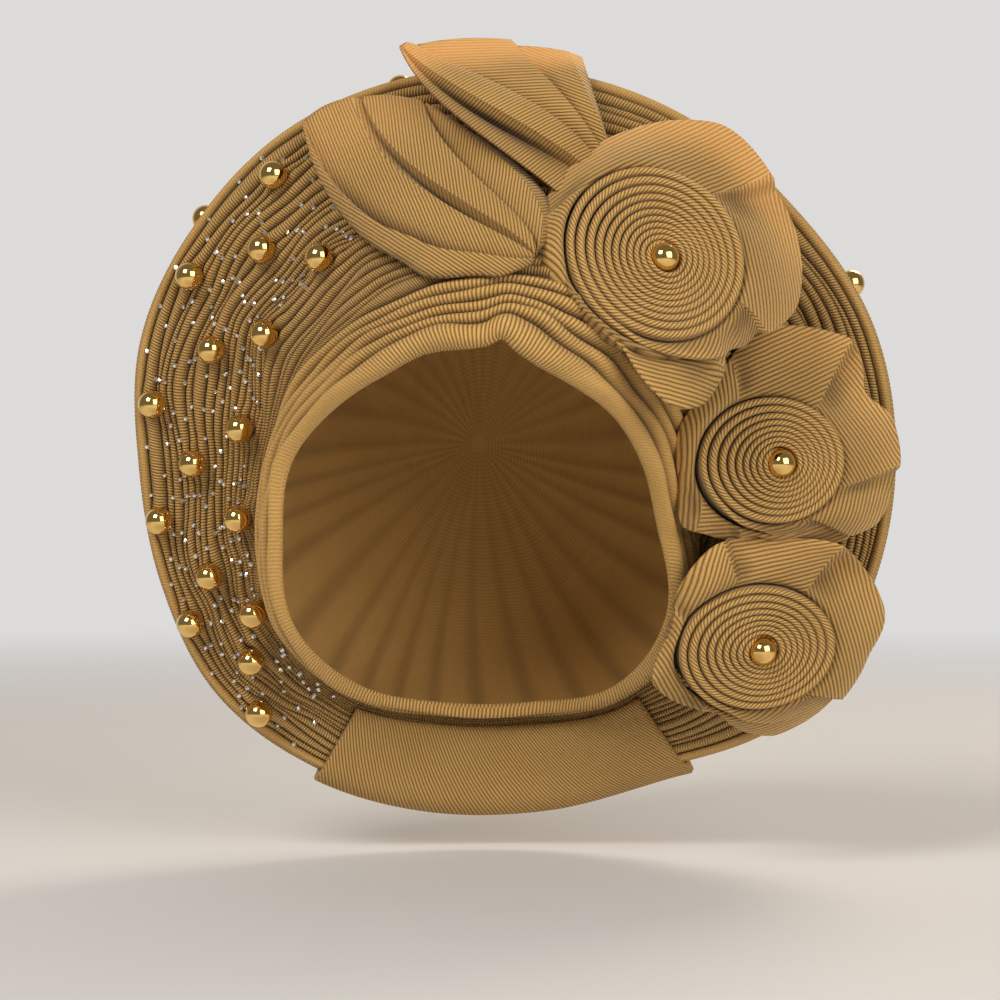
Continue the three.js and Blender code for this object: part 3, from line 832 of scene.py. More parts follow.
class HEADTIE_OT_brim(Operator):
    """Make the ring-shaped brim of uneven, rounded pleats that part round the beads"""

    bl_idname = "headtie.brim"
    bl_label = "Pleated brim"

    def execute(self, context):
        degrees, edges, lengths, t, beads = brim_pleats()
        rows = len(degrees)
        step = np.arange(PLEAT_STEPS) / PLEAT_STEPS
        across = (1 - np.cos(np.pi * step)) / 2
        widths = np.diff(edges, axis=1)
        rise = np.clip(PLEAT_ROUNDNESS * widths, PLEAT_LOWEST, PLEAT_HIGHEST)
        from_rim = (edges[:, :-1, None] + widths[:, :, None] * across).reshape(rows, -1)
        height = (PLEAT_LOWEST + rise[:, :, None] * np.sin(np.pi * step)).reshape(rows, -1)
        from_rim = np.concatenate([from_rim, edges[:, -1:]], axis=1)
        height = np.concatenate([height, np.full((rows, 1), PLEAT_LOWEST)], axis=1)
        height += bead_relief(beads, from_rim)
        front = from_rim.shape[1]
        back = np.concatenate([lengths[:, -1:], edges[:, ::-1]], axis=1)
        ripple = BRIM_BACK - BRIM_BACK_RIPPLE * (np.arange(edges.shape[1]) % 2)
        back_height = np.tile([BRIM_LIP, *ripple], (rows, 1))
        roll_from_rim, roll_height = (np.tile(values, (rows, 1)) for values in zip(*RIM_ROLL))
        from_rim = np.concatenate([from_rim, back, roll_from_rim], axis=1)
        height = np.concatenate([height, back_height, roll_height], axis=1)
        where = t_at_lengths(lengths, t, lengths[:, -1:] - from_rim)
        points = drawn_to_beads(raised(brim_surface, degrees, where, height))
        columns = points.shape[1]
        # Painted shade: darker towards the valleys between pleats and full at the inner edge, none at the
        # rim.
        hollow = np.zeros((rows, columns))
        hollow[:, :front - 1] = 1 - np.abs(np.sin(np.pi * np.tile(step, BRIM_PLEATS)))
        hollow[:, front - 1:front + 1] = 1
        hollow[:, 0] = 0
        plain = np.zeros((rows, columns))
        plain[:, :PLEAT_STEPS] = RIM_PLAIN
        creases = np.zeros((rows, columns), bool)
        creases[:, PLEAT_STEPS:front:PLEAT_STEPS] = True
        groups = [(k, k + PLEAT_STEPS) for k in range(0, front - 1, PLEAT_STEPS)] + [(front - 1, columns)]
        rng = np.random.default_rng(BRIM_SEED + 1)
        draws = [(rng.normal(0, PLEAT_LEAN), rng.uniform(0, PLEAT_RIB_SHIFT)) for _ in groups]
        pitch = context.scene.head_tie_cloth.pleat_rib_pitch / MM
        piece = cloth_piece(
            "brim_cloth", points.reshape(-1, 3), loft_quads(rows, columns, True),
            ring_uv(points, groups, pitch, *zip(*draws)), {PAINTED_SHADE: hollow, PLAIN: plain}, creases.ravel(),
        )
        settle(piece, cloth_finish("pleat_cloth"), "pleated_brim")
        return {"FINISHED"}


class HEADTIE_OT_band(Operator):
    """Make the band of broad soft folds round the face"""

    bl_idname = "headtie.band"
    bl_label = "Face band"

    def execute(self, context):
        rng = np.random.default_rng(BAND_SEED)
        degrees = ring_angles(BAND_SECTIONS)
        rows, folds = len(degrees), len(BAND_FOLD_SHARES)
        front = folds * BAND_STEPS
        unevenness = BAND_UNEVEN * ring_noise(rng, degrees, folds, BAND_NOISE)
        weight = np.array(BAND_FOLD_SHARES) * np.exp(unevenness)
        upright = np.abs(np.sin(np.radians(degrees - BAND_TURN)))
        beside = 1 - smoothstep(upright, BAND_NARROW_FROM, BAND_UPRIGHT)
        weight[:, 0] *= 1 - BAND_SIDE_NARROWING * beside
        edges = np.cumsum(weight, axis=1) / np.sum(weight, axis=1, keepdims=True)
        edges = np.concatenate([np.zeros((rows, 1)), edges], axis=1)
        width = np.linalg.norm(ring_line("root", degrees) - ring_line("edge", degrees), axis=1)[:, None]
        step = np.arange(BAND_STEPS) / BAND_STEPS
        across = (1 - np.cos(np.pi * step)) / 2
        widths = np.diff(edges, axis=1)
        rise = np.clip(BAND_ROUNDNESS * widths * width, *BAND_RISES)
        rise *= 1 + BAND_RISE_UNEVEN * ring_noise(rng, degrees, folds, BAND_RISE_NOISE)
        t = (edges[:, :-1, None] + widths[:, :, None] * across).reshape(rows, -1)
        bulge = np.sin(np.pi * step) ** BAND_FOLD_POWER
        height = (BAND_FRONT + rise[:, :, None] * bulge).reshape(rows, -1)
        tucked = 1 + BAND_TUCK
        back_t = np.tile([tucked, *np.linspace(tucked, 0, BAND_BACK_STEPS)], (rows, 1))
        t = np.concatenate([t, back_t], axis=1)
        height = np.concatenate([height, np.full(back_t.shape, BAND_BACK)], axis=1)
        height[:, front] = BAND_FRONT
        points = raised(band_surface, degrees, t, height)
        columns = points.shape[1]
        # Painted shade: darker in the valleys between folds and full at the tuck under the brim, none at
        # the face edge.
        hollow = np.zeros((rows, columns))
        hollow[:, :front] = 1 - np.sin(np.pi * np.tile(step, folds))
        hollow[:, :BAND_STEPS // 2] = 0
        hollow[:, front] = 1
        creases = np.zeros((rows, columns), bool)
        creases[:, BAND_STEPS:front + 1:BAND_STEPS] = True
        plain = BAND_PLAIN * (1 - smoothstep(upright, BAND_PLAIN_FROM, BAND_UPRIGHT))
        plain = np.tile(plain[:, None], (1, columns))
        groups = [(k, k + BAND_STEPS) for k in range(0, front, BAND_STEPS)] + [(front, columns)]
        pitch = context.scene.head_tie_cloth.rib_pitch / MM
        leans, starts = [BAND_LEAN] * len(groups), [0] * len(groups)
        piece = cloth_piece(
            "band_cloth_piece", points.reshape(-1, 3), loft_quads(rows, columns, True),
            ring_uv(points, groups, pitch, leans, starts), {PAINTED_SHADE: hollow, PLAIN: plain}, creases.ravel(),
        )
        settle(piece, cloth_finish("band_cloth"), "face_band")
        return {"FINISHED"}


class HEADTIE_OT_cap(Operator):
    """Make the plain crown cap, softly gathered behind the brim"""

    bl_idname = "headtie.cap"
    bl_label = "Crown cap"

    def execute(self, context):
        rng = np.random.default_rng(CAP_SEED)
        degrees = ring_angles(CAP_AROUND)
        over_top = np.maximum(0, np.sin(np.radians(degrees)))
        front_t = lerp(CAP_SIDE_SHARE, CAP_TOP_SHARE, over_top)[:, None]
        sunk = np.full_like(front_t, BRIM_BACK + CAP_SINK)
        front = raised(brim_surface, degrees, front_t, sunk)[:, 0]
        share = (np.arange(CAP_STEPS) / CAP_STEPS)[:, None]
        swing = share * np.pi / 2
        apex = np.array(CAP_APEX)
        x = lerp(apex[0], front[:, 0], np.cos(swing))
        y = lerp(front[:, 1], apex[1], np.sin(swing))
        z = lerp(apex[2], front[:, 2], np.cos(swing)) + CAP_BULGE * np.sin(2 * swing) * over_top
        skin = np.stack([x, y, z], axis=-1)
        outward = unit(skin - np.array(CAP_MIDDLE))
        wander = ring_noise(rng, degrees, 1, CAP_NOISE)[:, 0]
        waves = np.sin(np.radians(degrees) * CAP_GATHERS + CAP_WANDER * wander + CAP_TWIST * swing)
        fade = (1 - share) ** CAP_GATHER_FADE * smoothstep(share, CAP_GATHER_FROM, CAP_GATHER_TO)
        gather = waves * fade
        outside = skin + outward * gather[..., None]
        inside = outside - outward * CAP_WALL
        tip = apex + CAP_TIP
        tips = [tip, tip - (0, CAP_WALL, 0)]
        points = np.concatenate([outside.reshape(-1, 3), inside.reshape(-1, 3), tips])
        quads, corner_uv = self.skins(outside, degrees)
        # Painted shade in the troughs of the gathers, on both skins.
        hollow = np.clip(-gather, 0, 1).ravel() * CAP_SHADE
        hollow = np.concatenate([hollow, hollow, [0, 0]])
        piece = self.piece(points, quads, corner_uv, hollow)
        settle(piece, cloth_finish("cap_cloth"), "crown_cap")
        return {"FINISHED"}

    @staticmethod
    def skins(outside, degrees):
        """Quads of the outer skin, the inner skin and the front edge, with the apexes left open."""
        around = len(degrees)
        size = CAP_STEPS * around
        i = np.arange(around)
        j = (i + 1) % around
        quads, uvs = [], []
        ring = np.linalg.norm(np.roll(outside, -1, axis=1) - outside, axis=2).sum(axis=1).max()
        u = np.arange(around + 1) / around * ring
        rises = np.linalg.norm(np.diff(outside, axis=0), axis=2).mean(axis=1)
        v = np.concatenate([[0], np.cumsum(rises)])
        grid = np.stack(np.meshgrid(v, u, indexing="ij"), axis=-1)
        for k in range(CAP_STEPS - 1):
            low, high = k * around, (k + 1) * around
            outer = np.stack([low + i, high + i, high + j, low + j], axis=-1)
            near, far = grid[k], grid[k + 1]
            uv = np.stack([near[:-1], far[:-1], far[1:], near[1:]], axis=1)
            quads += [outer, size + outer[:, ::-1]]
            uvs += [uv, uv[:, ::-1]]
        rim = np.stack([i, j, size + j, size + i], axis=-1)
        quads.append(rim)
        uvs.append(np.zeros((around, 4, 2)))
        return np.concatenate(quads), np.concatenate(uvs)

    @staticmethod
    def piece(points, quads, corner_uv, hollow):
        """Adds the fans that close both apexes, then makes the mesh."""
        around = CAP_AROUND
        size = CAP_STEPS * around
        i = np.arange(0, around, 2)
        j, k = (i + 1) % around, (i + 2) % around
        last = size - around
        tip = np.full_like(i, 2 * size)
        outer = np.stack([last + i, tip, last + k, last + j], axis=-1)
        last += size
        inner = np.stack([last + i, last + j, last + k, tip + 1], axis=-1)
        quads = np.concatenate([quads, outer, inner])
        corner_uv = np.concatenate([corner_uv, np.zeros((len(outer) + len(inner), 4, 2))])
        masks = {PAINTED_SHADE: hollow, PLAIN: np.full(len(points), CAP_PLAIN)}
        return cloth_piece("cap_cloth_piece", points, quads, corner_uv, masks)


class HEADTIE_OT_binding(Operator):
    """Make the binding folded over the gathered pleats at the nape"""

    bl_idname = "headtie.binding"
    bl_label = "Nape binding"

    def execute(self, context):
        degrees = np.linspace(BINDING_FROM, BINDING_TO, BINDING_STEPS + 1)
        waves = np.sin(np.radians(degrees) * BINDING_WAVES)[:, None]
        skins = []
        for wall in (BINDING_WALL, 0.0):
            share, height = (np.tile(values, (len(degrees), 1)) for values in self.path(wall).T)
            slack = BINDING_SLACK * waves * np.sin(np.linspace(0, np.pi, share.shape[1]))
            skins.append(raised(brim_surface, degrees, share, height + slack))
        outside, inside = skins
        points = np.concatenate([outside, inside[:, ::-1]], axis=1)
        steps = np.linalg.norm(np.diff(outside[:, BINDING_FRONT_STEPS // 2], axis=0), axis=1)
        along = np.concatenate([[0], np.cumsum(steps)])
        spans = np.linalg.norm(np.diff(outside[len(degrees) // 2], axis=0), axis=1)
        down = np.concatenate([[0], np.cumsum(spans)])
        down = np.concatenate([down, down[::-1]])
        uv = turned(along[:, None], down, math.radians(BINDING_RIB_TILT))
        piece = capped_piece("binding_cloth", points, loft_uv(uv, np.roll(uv, -1, axis=1)), {})
        settle(piece, cloth_finish("leaf_cloth"), "nape_binding")
        return {"FINISHED"}

    @staticmethod
    def path(wall):
        """Share of the brim's width and height above it: over the front, round the rim, up the back."""
        past = 1 + (BINDING_GAP + wall) / BINDING_BRIM_WIDTH
        over = BINDING_OVER + wall
        under = BRIM_BACK - BINDING_GAP - wall
        rounding = BINDING_ROUNDING * wall
        front_t = np.linspace(BINDING_FRONT, BINDING_TURN, BINDING_FRONT_STEPS)
        hem = BINDING_HEM_DIP * np.exp(-(front_t - BINDING_FRONT) * BINDING_HEM_FADE)
        back_t = np.linspace(BINDING_TURN, BINDING_BACK, BINDING_BACK_STEPS)
        first, second, third, last = BINDING_TURN_DROPS
        turn = [
            (BINDING_RIM, over - first), (past, over - second - rounding),
            (past, under + third + rounding), (BINDING_RIM, under + last),
        ]
        front = np.stack([front_t, over - hem], axis=-1)
        back = np.stack([back_t, np.full(BINDING_BACK_STEPS, under)], axis=-1)
        return np.concatenate([front, turn, back])


class HEADTIE_OT_leaves(Operator):
    """Make the gathered leaves, whose folds fan out from a pinched base"""

    bl_idname = "headtie.leaves"
    bl_label = "Leaves"

    def execute(self, context):
        for name, leaf in LEAVES.items():
            piece = self.leaf(name + "_cloth", leaf)
            settle(piece, cloth_finish("leaf_cloth"), name)
        return {"FINISHED"}

    @staticmethod
    def leaf(name, leaf):
        v = np.linspace(0, 1, LEAF_ROWS + 1)
        low, high = bezier(leaf["low"], v), bezier(leaf["high"], v)
        width = high - low
        outward = unit(np.gradient(low, axis=0) + np.gradient(high, axis=0))
        front = unit(np.cross(outward, width))
        front *= -np.sign(front[:, 1:2])
        wave = leaf["edge_wave"] * np.sin(v * LEAF_EDGE_WAVES)
        wave = wave * smoothstep(v, *LEAF_WAVE_IN) * (1 - smoothstep(v, *LEAF_WAVE_OUT))
        swell = np.sin(np.pi * lerp(*LEAF_SWELL_SPAN, v))[:, None]
        shade = np.sin(np.pi * np.clip(v, *LEAF_SHADE_SPAN))[:, None]
        step = np.linspace(0, 1, LEAF_STEPS + 1)
        skins, lefts, rights, painted_shades = [], [], [], []
        for line, after in zip(leaf["lines"][:-1], leaf["lines"][1:]):
            place, place_after, height, height_after = (
                through_three(row[part], v)[:, None]
                for part in (LINE_PLACES, LINE_HEIGHTS) for row in (line, after)
            )
            u = lerp(place, place_after, step)
            arch = 4 * u * (1 - u)
            height = lerp(height, height_after, step)
            height = height + line[LINE_SWELL] * 4 * step * (1 - step) * swell
            belly = leaf["belly"] * np.sin(np.pi * v)[:, None] * arch
            bow = leaf["hem_bow"] * (v ** 2)[:, None] * arch
            tug = -wave[:, None] * (1 - u) ** LEAF_EDGE_POWER
            point = low[:, None] + width[:, None] * u[..., None]
            for way, size in ((front, height + belly), (outward, bow), (unit(width), tug)):
                point = point + way[:, None] * size[..., None]
            uv = turned(point[..., 0], point[..., 2], math.radians(line[LINE_RIBS]))[..., ::-1]
            # Painted shade on the low parts of the folds, weaker at the base and the hem.
            painted_fold_shade = np.clip((LEAF_LIT_HEIGHT - height) / LEAF_SHADE_DEPTH, 0, 1) * shade
            skins.append(point[:, :-1])
            lefts.append(uv[:, :-1])
            rights.append(uv[:, 1:])
            painted_shades.append(painted_fold_shade[:, :-1])
        points = np.concatenate([*skins, point[:, -1:]], axis=1)
        hollow = np.concatenate([*painted_shades, painted_fold_shade[:, -1:]], axis=1)
        lefts, rights = np.concatenate(lefts, axis=1), np.concatenate(rights, axis=1)
        back = (points - front[:, None] * LEAF_WALL)[:, ::-1]
        skin = np.concatenate([points, back], axis=1)
        hollow = np.concatenate([hollow, np.zeros_like(hollow)], axis=1)
        left = np.concatenate([lefts, rights[:, -1:], rights[:, ::-1], lefts[:, :1]], axis=1)
        right = np.concatenate([rights, rights[:, -1:], lefts[:, ::-1], lefts[:, :1]], axis=1)
        # Painted light where light would come through thin cloth, rising towards the hem.
        lit = leaf["glow"] * smoothstep(v, LEAF_GLOW_FROM, LEAF_GLOW_TO)
        masks = {PAINTED_SHADE: hollow, GLOW: lit[:, None] * np.ones(skin.shape[1])}
        creases = np.zeros(skin.shape[:2], bool)
        creases[:, :points.shape[1]:LEAF_STEPS] = True
        return capped_piece(name, skin, loft_uv(left, right), masks, creases.ravel())


def rosette_axes(rosette):
    """Sideways, upward and outward directions of a rosette, as rows."""
    out = unit(np.array(rosette["faces"], float))
    side = unit(np.cross((0, 0, 1), out))
    return np.stack([side, np.cross(out, side), out])


def petal_reach(rosette, swing):
    """The petal edge's distance from the bead, by sending the outline's corners back to its plane."""
    axes = rosette_axes(rosette)
    plane = np.array(rosette["middle"]) - rosette["drop"] * axes[2]
    corners = (np.array(rosette["outline"], float) - CAMERA_MIDDLE) * CAMERA_SPREAD
    sight = np.stack([corners[:, 0], np.ones(len(corners)), -corners[:, 1]], axis=-1)
    eye = np.array(CAMERA_PLACE)
    hit = eye + sight * (((plane - eye) @ axes[2]) / (sight @ axes[2]))[:, None]
    flat = (hit - plane) @ axes[:2].T
    angle = np.arctan2(flat[:, 1], flat[:, 0])
    steps = np.arange(360)
    around = np.interp(np.radians(steps), angle, np.hypot(*flat.T), period=2 * np.pi)
    shifts = np.arange(-OUTLINE_REACH, OUTLINE_REACH + 1)
    weights = np.exp(-(shifts / OUTLINE_SOFT) ** 2)
    soft = sum(np.roll(around, shift) * weight for shift, weight in zip(shifts, weights))
    return np.interp(np.degrees(swing), steps, soft / weights.sum(), period=360)


def strip_course(rosette):
    """The strip's way round the coil and the petals, with one value for each of its sections."""
    turns = rosette["turns"]
    folds = np.radians(rosette["folds"])
    opens, ends = folds[0, 0], folds[-1, 0]
    coil_swing = opens - 2 * np.pi * np.arange(turns * COIL_STEPS, 0, -1) / COIL_STEPS
    petal_rows = int((ends - opens) / (2 * np.pi) * PETAL_STEPS)
    swing = np.concatenate([coil_swing, np.linspace(opens, ends, petal_rows)])
    beyond = (swing - opens) / (2 * np.pi)
    petal = np.clip(np.searchsorted(folds[:, 0], swing, side="right") - 1, 0, len(folds) - 2)
    share = np.clip((swing - folds[petal, 0]) / (folds[petal + 1, 0] - folds[petal, 0]), 0, 1)
    opened = smoothstep(beyond, 0, PETALS_OPEN_BY)
    return SimpleNamespace(
        folds=folds, swing=swing, turn=turns + beyond, beyond=beyond, is_petal=swing >= opens,
        petal=petal, share=share, opened=opened, closing=smoothstep(swing, ends - PETAL_CLOSING, ends),
        edge_swing=lerp(swing, np.interp(swing, *folds.T), opened),
    )


def strip_widths(rosette, course):
    """Distances of the strip and of its free edge from the axis, and the thickness of its wall."""
    oval = 1 / np.hypot(np.cos(course.swing), np.sin(course.swing) / rosette["squash"])
    wound = course.turn / rosette["turns"]
    loose = np.where(wound < 1, wound ** 4, 4 * wound - 3)
    loose = COIL_TIGHTNESS * wound + (1 - COIL_TIGHTNESS) * loose
    coil_r = ROSETTE_EYE + (rosette["coil"] - ROSETTE_EYE) * loose * oval
    pitch = np.interp(course.turn + 1, course.turn, coil_r, right=np.nan) - coil_r
    pitch = np.where(np.isnan(pitch), PETAL_WALL, pitch)
    wall = lerp(pitch * COIL_FILL, PETAL_WALL, smoothstep(course.beyond, WALL_FROM, WALL_TO))
    base_r = coil_r + wall / 2
    reach = petal_reach(rosette, course.edge_swing)
    reach = np.where(course.petal == 0, np.minimum(reach, base_r + FIRST_PETAL_REACH), reach)
    edge_r = lerp(base_r, reach, course.opened * lerp(1.0, LAST_PETAL_REACH, course.closing))
    return base_r, edge_r, wall


def strip_heights(rosette, course, base_r, rng):
    """How far down the strip's foot lies, and the heights of the four knots of its section."""
    step = 1 - PETAL_LIFT_SHARE
    across = np.minimum(course.share / step, 1)
    lift = PETAL_LIFT * (0.5 - across + smoothstep(course.share, step, 1))
    dome = PETAL_DOME * np.sin(np.pi * across) * (course.petal > 0)
    dome *= 1 - smoothstep(course.beyond, DOME_FROM, DOME_TO)
    under = PETAL_UNDER * smoothstep(course.beyond, UNDER_FROM, UNDER_TO)
    tilt = np.cos(course.swing - math.radians(rosette["bearing"]))
    depth = rosette["depth"] + rosette["slant"] * base_r * tilt
    wave = 0
    for size, count in PETAL_WAVES:
        wave = wave + size * np.sin(course.swing * count + rng.uniform(0, PETAL_WAVE_SHIFT))
    valley = np.clip(np.cos(course.edge_swing - math.radians(VALLEY_BEARING)), 0, 1) ** 2
    seat = np.sqrt(np.maximum(BEAD_SEAT ** 2 - base_r ** 2, 0))
    coil_top = COIL_WAVE * np.sin(course.swing * COIL_WAVES) - seat
    shoulder = PETAL_SHOULDER - under + VALLEY_SHOULDER * valley
    edge = -rosette["drop"] * depth / rosette["depth"] + wave + lift - under
    edge = edge - PETAL_END_DROP * course.closing + VALLEY_EDGE * valley
    middle = lerp(shoulder, edge, PETAL_CROWN_AT) + PETAL_CROWN + PETAL_CROWN_LIFT * lift
    middle = middle + VALLEY_MIDDLE * valley + dome
    knots = (shoulder + SHOULDER_FOOT, shoulder + SHOULDER_RISE, middle, edge)
    heights = [lerp(coil_top + low, high, course.opened) for low, high in zip(COIL_SECTION, knots)]
    return depth, heights


def strip_section(base_r, edge_r, wall, depth, heights):
    """The strip's sections: up the inner side, round the free edge and down the outer side."""
    knots = []
    for span, height in zip(PETAL_SPANS, heights):
        knots.append(np.stack([lerp(base_r, edge_r, span), height], axis=-1)[:, None])
    foot = np.stack([base_r, -depth], axis=-1)[:, None]
    climb = np.linspace(0, 1, STRIP_WALL_STEPS, endpoint=False)[:, None]
    petal_line = bezier(knots, np.linspace(0, 1, STRIP_SIDE_STEPS))
    line = np.concatenate([lerp(foot, knots[0], climb), petal_line], axis=1)
    run = unit(np.gradient(line, axis=1))
    normal = np.stack([run[..., 1], -run[..., 0]], axis=-1)
    half = (wall / 2)[:, None, None]
    bend = STRIP_BEND[:, None]
    edge_round = line[:, -1:] + half * (np.sin(bend) * run[:, -1:] - np.cos(bend) * normal[:, -1:])
    return np.concatenate([line - normal * half, edge_round, (line + normal * half)[:, ::-1]], axis=1)


def strip_spread():
    """How far each point of a section is from the coil to the free edge, as a share."""
    side = np.concatenate([np.zeros(STRIP_WALL_STEPS), np.linspace(0, 1, STRIP_SIDE_STEPS)])
    return np.concatenate([side, np.ones(STRIP_EDGE_STEPS), side[::-1]])


def strip_place(rosette, course, section):
    """The sections set round the axis, each at its own angle, with the coil leaning a little."""
    spread = strip_spread()
    angle = lerp(course.swing[:, None], course.edge_swing[:, None], spread)
    wound = np.minimum(course.turn / rosette["turns"], 1)
    sway = (wound ** 2)[:, None] * (1 - course.opened[:, None] * spread)
    return np.stack([
        section[..., 0] * np.cos(angle) + rosette["lean"][0] * sway,
        section[..., 0] * np.sin(angle) + rosette["lean"][1] * sway,
        section[..., 1],
    ], axis=-1)


def strip_uv(rosette, course, base_r, section, local):
    """Corner UVs: the ribs run on a slant round the coil, and straight along each petal's edge."""
    lengths = np.linalg.norm(np.diff(section, axis=1), axis=-1)
    across = np.concatenate([np.zeros((len(lengths), 1)), np.cumsum(lengths, axis=1)], axis=1)
    across = (across - across[:, section.shape[1] // 2][:, None]) * COIL_GATHER
    steps = np.hypot(np.diff(base_r), base_r[:-1] * np.diff(course.swing)) * COIL_GATHER
    along = np.concatenate([[0], np.cumsum(steps)])[:, None]
    rope = turned(along, across, math.radians(COIL_BIAS))
    corner = course.folds[:, 1]
    corner = petal_reach(rosette, corner) * np.stack([np.cos(corner), np.sin(corner)])
    chord = np.diff(corner, axis=1)
    lie = np.arctan2(chord[1], chord[0]) + math.radians(PETAL_RIB_TILT)
    lie = lie[course.petal][:-1, None]
    is_flat = (course.is_petal & (course.petal > 0))[:-1, None, None]
    sides = []
    for rows in (slice(None, -1), slice(1, None)):
        flat = turned(local[rows, :, 0], local[rows, :, 1], lie)[..., ::-1]
        sides.append(np.where(is_flat, flat, rope[rows]))
    near, far = sides
    corners = [near, np.roll(near, -1, axis=1), np.roll(far, -1, axis=1), far]
    return np.stack(corners, axis=2).reshape(-1, 4, 2)


def strip_masks(rosette, course):
    """Painted shade deep in the coil and where a petal goes under the next, and painted light through the
    edge.
    """
    spread = strip_spread()
    low = np.linspace(1, 0, STRIP_WALL_STEPS + STRIP_SIDE_STEPS) ** 0.5
    low = np.concatenate([low, EDGE_SHADE * np.abs(np.cos(STRIP_BEND)) ** 3, low[::-1]])
    hollow = lerp(1.0, PETAL_SHADE, course.opened)[:, None] * low
    goes_under = course.is_petal & (course.petal < len(course.folds) - 2)
    tucked = smoothstep(course.share, TUCK_FROM, 1 - PETAL_LIFT_SHARE) * goes_under
    between = np.sin(np.pi * np.clip(spread, *TUCK_SPAN))
    hollow = np.maximum(hollow, TUCK_SHADE * tucked[:, None] * between)
    # Painted light on the petal edges that face the glow bearing.
    towards = np.clip(np.cos(course.edge_swing - math.radians(GLOW_BEARING)), 0, 1) ** 2
    lit = rosette["glow"] * course.opened * towards
    return {PAINTED_SHADE: hollow, GLOW: lit[:, None] * smoothstep(spread, GLOW_FROM, 1.0)}


class HEADTIE_OT_rosettes(Operator):
    """Make the rosettes, each a doubled strip wound into a coil that opens into petals"""

    bl_idname = "headtie.rosettes"
    bl_label = "Rosettes"

    def execute(self, context):
        for seed, (name, rosette) in enumerate(ROSETTES.items()):
            piece = self.rosette(name + "_cloth", rosette, np.random.default_rng(seed + ROSETTE_SEED))
            settle(piece, cloth_finish("petal_cloth"), name)
        return {"FINISHED"}

    @staticmethod
    def rosette(name, rosette, rng):
        course = strip_course(rosette)
        base_r, edge_r, wall = strip_widths(rosette, course)
        depth, heights = strip_heights(rosette, course, base_r, rng)
        section = strip_section(base_r, edge_r, wall, depth, heights)
        local = strip_place(rosette, course, section)
        points = np.array(rosette["middle"]) + local @ rosette_axes(rosette)
        corner_uv = strip_uv(rosette, course, base_r, section, local)
        return capped_piece(name, points, corner_uv, strip_masks(rosette, course))


class HEADTIE_OT_beads(Operator):
    """Make the round gold beads, each drilled for its thread"""

    bl_idname = "headtie.beads"
    bl_label = "Gold beads"

    def execute(self, context):
        look = context.scene.head_tie_beads
        first = self.drilled_bead(look.diameter / 2, look.hole)
        first.data.materials.append(plated_gold())
        nodes = sorted(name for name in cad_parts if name.startswith("bead_"))
        for number, node in enumerate(nodes):
            low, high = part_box(node)
            middle = (low + high) / 2
            mesh = first.data.copy()
            around = math.atan2(middle.z, middle.x - RING_AXIS_X * MM)
            tilt = BEAD_TILT * math.sin(number * BEAD_TILT_STEP)
            turn = Matrix.Rotation(-around, 4, "Y") @ Matrix.Rotation(tilt, 4, "X")
            mesh.transform(Matrix.Translation(middle) @ turn)
            bead = bpy.data.objects.new("gold_" + node, mesh)
            context.scene.collection.objects.link(bead)
            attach(bead, BODY)
            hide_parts(node)
        bpy.data.objects.remove(first)
        return {"FINISHED"}

    @staticmethod
    def drilled_bead(radius, hole):
        """A sphere whose two poles are let in as a thread hole with a soft lip."""
        bpy.ops.object.select_all(action="DESELECT")
        bpy.ops.mesh.primitive_uv_sphere_add(segments=BEAD_SEGMENTS, ring_count=BEAD_RINGS, radius=radius)
        bead = bpy.context.object
        bpy.ops.object.mode_set(mode="EDIT")
        for side in (1, -1):
            bpy.ops.mesh.select_all(action="DESELECT")
            bpy.ops.object.mode_set(mode="OBJECT")
            for face in bead.data.polygons:
                face.select = face.center.z * side > radius * BEAD_POLE
            bpy.ops.object.mode_set(mode="EDIT")
            bpy.ops.mesh.select_mode(type="FACE")
            bpy.ops.mesh.inset(thickness=hole * HOLE_LIP, depth=-hole * HOLE_LIP_DEPTH)
            drilled = (0, 0, -side * hole * HOLE_DEPTH)
            bpy.ops.mesh.extrude_region_move(TRANSFORM_OT_translate={"value": drilled})
        bpy.ops.object.mode_set(mode="OBJECT")
        bpy.ops.object.shade_smooth_by_angle(angle=math.radians(40))
        return bead


